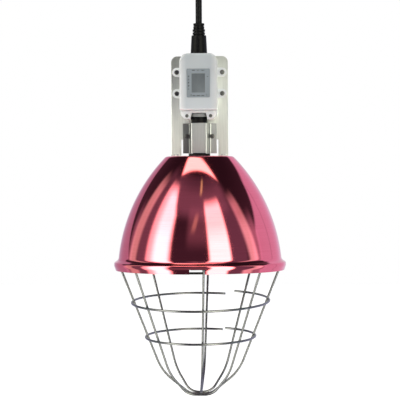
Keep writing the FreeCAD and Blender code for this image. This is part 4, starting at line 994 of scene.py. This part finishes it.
room_glows = [
    # Dim walls and ceiling of the room
    (box_window(-181, 181, -70, 38, 0.5, 22), (0.045, 0.04, 0.05)),
    (box_window(-70, 60, 40, 70, 9, 5), (0.11, 0.11, 0.13)),
    (box_window(-95, 66, 40, 60, 9, 7), (0.14, 0.14, 0.16)),
    (box_window(-98, -76, -60, 42, 4, 8), (0.19, 0.18, 0.21)),
    (box_window(44, 74, -60, 42, 4, 8), (0.15, 0.15, 0.19)),
    (box_window(-17, 14, 21, 44, 5, 7), (0.18, 0.17, 0.18)),
    (box_window(-48, 22, -24, 5, 6, 6), (0.18, 0.18, 0.17)),
    (box_window(-120, -111, -45, 22, 4, 8), (0.32, 0.30, 0.34)),
    (box_window(86, 99, -45, 26, 4, 8), (0.55, 0.52, 0.60)),
    # Left and right soft boxes
    (left_box_wide, (2.6, 2.6, 2.1)),
    (left_box_core, (3.0, 3.0, 2.3)),
    (box_window(-70, -45.5, -60, 28, 7, 12, 0.06), (1.7, 1.7, 1.2)),
    (box_window(17.5, 48.5, -60, 49, 3, 5, -0.11), (4.5, 4.5, 3.4)),
    (box_window(18, 48.5, -60, 28, 3, 9, -0.11), (2.2, 2.2, 1.5)),
    # Narrow pale cards at the sides
    (box_window(-116, -101, -45, 46, 3.5, 8, 0.2), (0.95, 1.15, 0.88)),
    (box_window(80.5, 95, -45, 45, 3.5, 7, -0.33), (0.85, 0.95, 0.80)),
    (box_window(80.5, 95, -45, 29, 3.5, 6, -0.33), (0.42, 0.70, 0.58)),
    # Two small yellowish lamps in front
    (box_window(-25.5, -20, 57, 68, 1.5, 3, 0.5), (0.85, 1.5, 0.45)),
    (box_window(-26.5, -20, 30, 41, 2, 4, 0.5), (0.50, 0.62, 0.32)),
    # White wall behind with the shadow of a seam, and the paler ceiling above it
    (wall_window(1, 98, 19.5, 0.58, 34.8), (0.92, 0.92, 1.14)),
    (wall_window(-1, 115.5, 0, 1.05, 38), (0.58, 0.58, 0.72)),
    (box_window(123.6, 126.4, -60, 33, 0.8, 2), (-0.2, -0.2, -0.24)),
    (box_window(150, 200, 34, 76, 9, 12), (0.28, 0.28, 0.30)),
    (box_window(-200, -150, 34, 76, 9, 12), (0.28, 0.28, 0.30)),
    # Middle of that wall, where its two sides meet at one brightness
    (box_window(162, 200, -60, 34, 8, 3), (-0.14, -0.14, -0.30)),
    (box_window(-200, -162, -60, 34, 8, 3), (0.20, 0.20, 0.12)),
    # Warm light overhead
    (overhead, (5.6, 4.75, 3.3)),
]
room_light = None
for factor, colour in room_glows:
    glow = sky.nodes.new("ShaderNodeVectorMath")
    glow.operation = "SCALE"
    glow.inputs[0].default_value = colour
    sky.links.new(factor, glow.inputs["Scale"])
    joined = sky.nodes.new("ShaderNodeVectorMath")
    joined.operation = "ADD"
    sky.links.new(glow.outputs["Vector"], joined.inputs[0])
    if room_light:
        sky.links.new(room_light, joined.inputs[1])
    else:
        joined.inputs[1].default_value = ROOM_DARK
    room_light = joined.outputs["Vector"]

path = sky.nodes.new("ShaderNodeLightPath")
backgrounds = {}
for name, strength in (("fill", FILL), ("room", 1.0), ("white", 1.0)):
    backgrounds[name] = sky.nodes.new("ShaderNodeBackground")
    backgrounds[name].inputs["Color"].default_value = (1, 1, 1, 1)
    backgrounds[name].inputs["Strength"].default_value = strength
sky.links.new(room_light, backgrounds["room"].inputs["Color"])
mirrored = sky.nodes.new("ShaderNodeMixShader")
sky.links.new(path.outputs["Is Glossy Ray"], mirrored.inputs["Fac"])
sky.links.new(backgrounds["fill"].outputs["Background"], mirrored.inputs[1])
sky.links.new(backgrounds["room"].outputs["Background"], mirrored.inputs[2])
shown = sky.nodes.new("ShaderNodeMixShader")
sky.links.new(reckon("MAXIMUM", path.outputs["Is Camera Ray"], path.outputs["Is Transmission Ray"]),
              shown.inputs["Fac"])
sky.links.new(mirrored.outputs["Shader"], shown.inputs[1])
sky.links.new(backgrounds["white"].outputs["Background"], shown.inputs[2])
sky_out = sky.nodes.new("ShaderNodeOutputWorld")
sky.links.new(shown.outputs["Shader"], sky_out.inputs["Surface"])
bpy.context.scene.view_settings.view_transform = "Standard"


# Camera: a long lens a little to the right of the front, just below the height of the bowl's top.
# It looks slightly down and is rolled by a fraction of a degree.
CAMERA_LENS = 143.9
CAMERA_DISTANCE = 2.0
CAMERA_LEVEL = -0.2785
CAMERA_AZIMUTH = math.radians(2.6)
CAMERA_TURN = math.radians(0.011)
CAMERA_PITCH = math.radians(0.774)
CAMERA_ROLL = math.radians(-0.3)

lens = bpy.data.cameras.new("camera")
lens.lens = CAMERA_LENS
camera = linked("camera", lens)
camera_place = (CAMERA_DISTANCE * math.sin(CAMERA_AZIMUTH),
                -CAMERA_DISTANCE * math.cos(CAMERA_AZIMUTH), CAMERA_LEVEL)
camera.matrix_world = (
    Matrix.Translation(camera_place) @ Matrix.Rotation(CAMERA_AZIMUTH - CAMERA_TURN, 4, "Z")
    @ Matrix.Rotation(math.pi / 2 - CAMERA_PITCH, 4, "X") @ Matrix.Rotation(CAMERA_ROLL, 4, "Z"))
bpy.context.scene.camera = camera
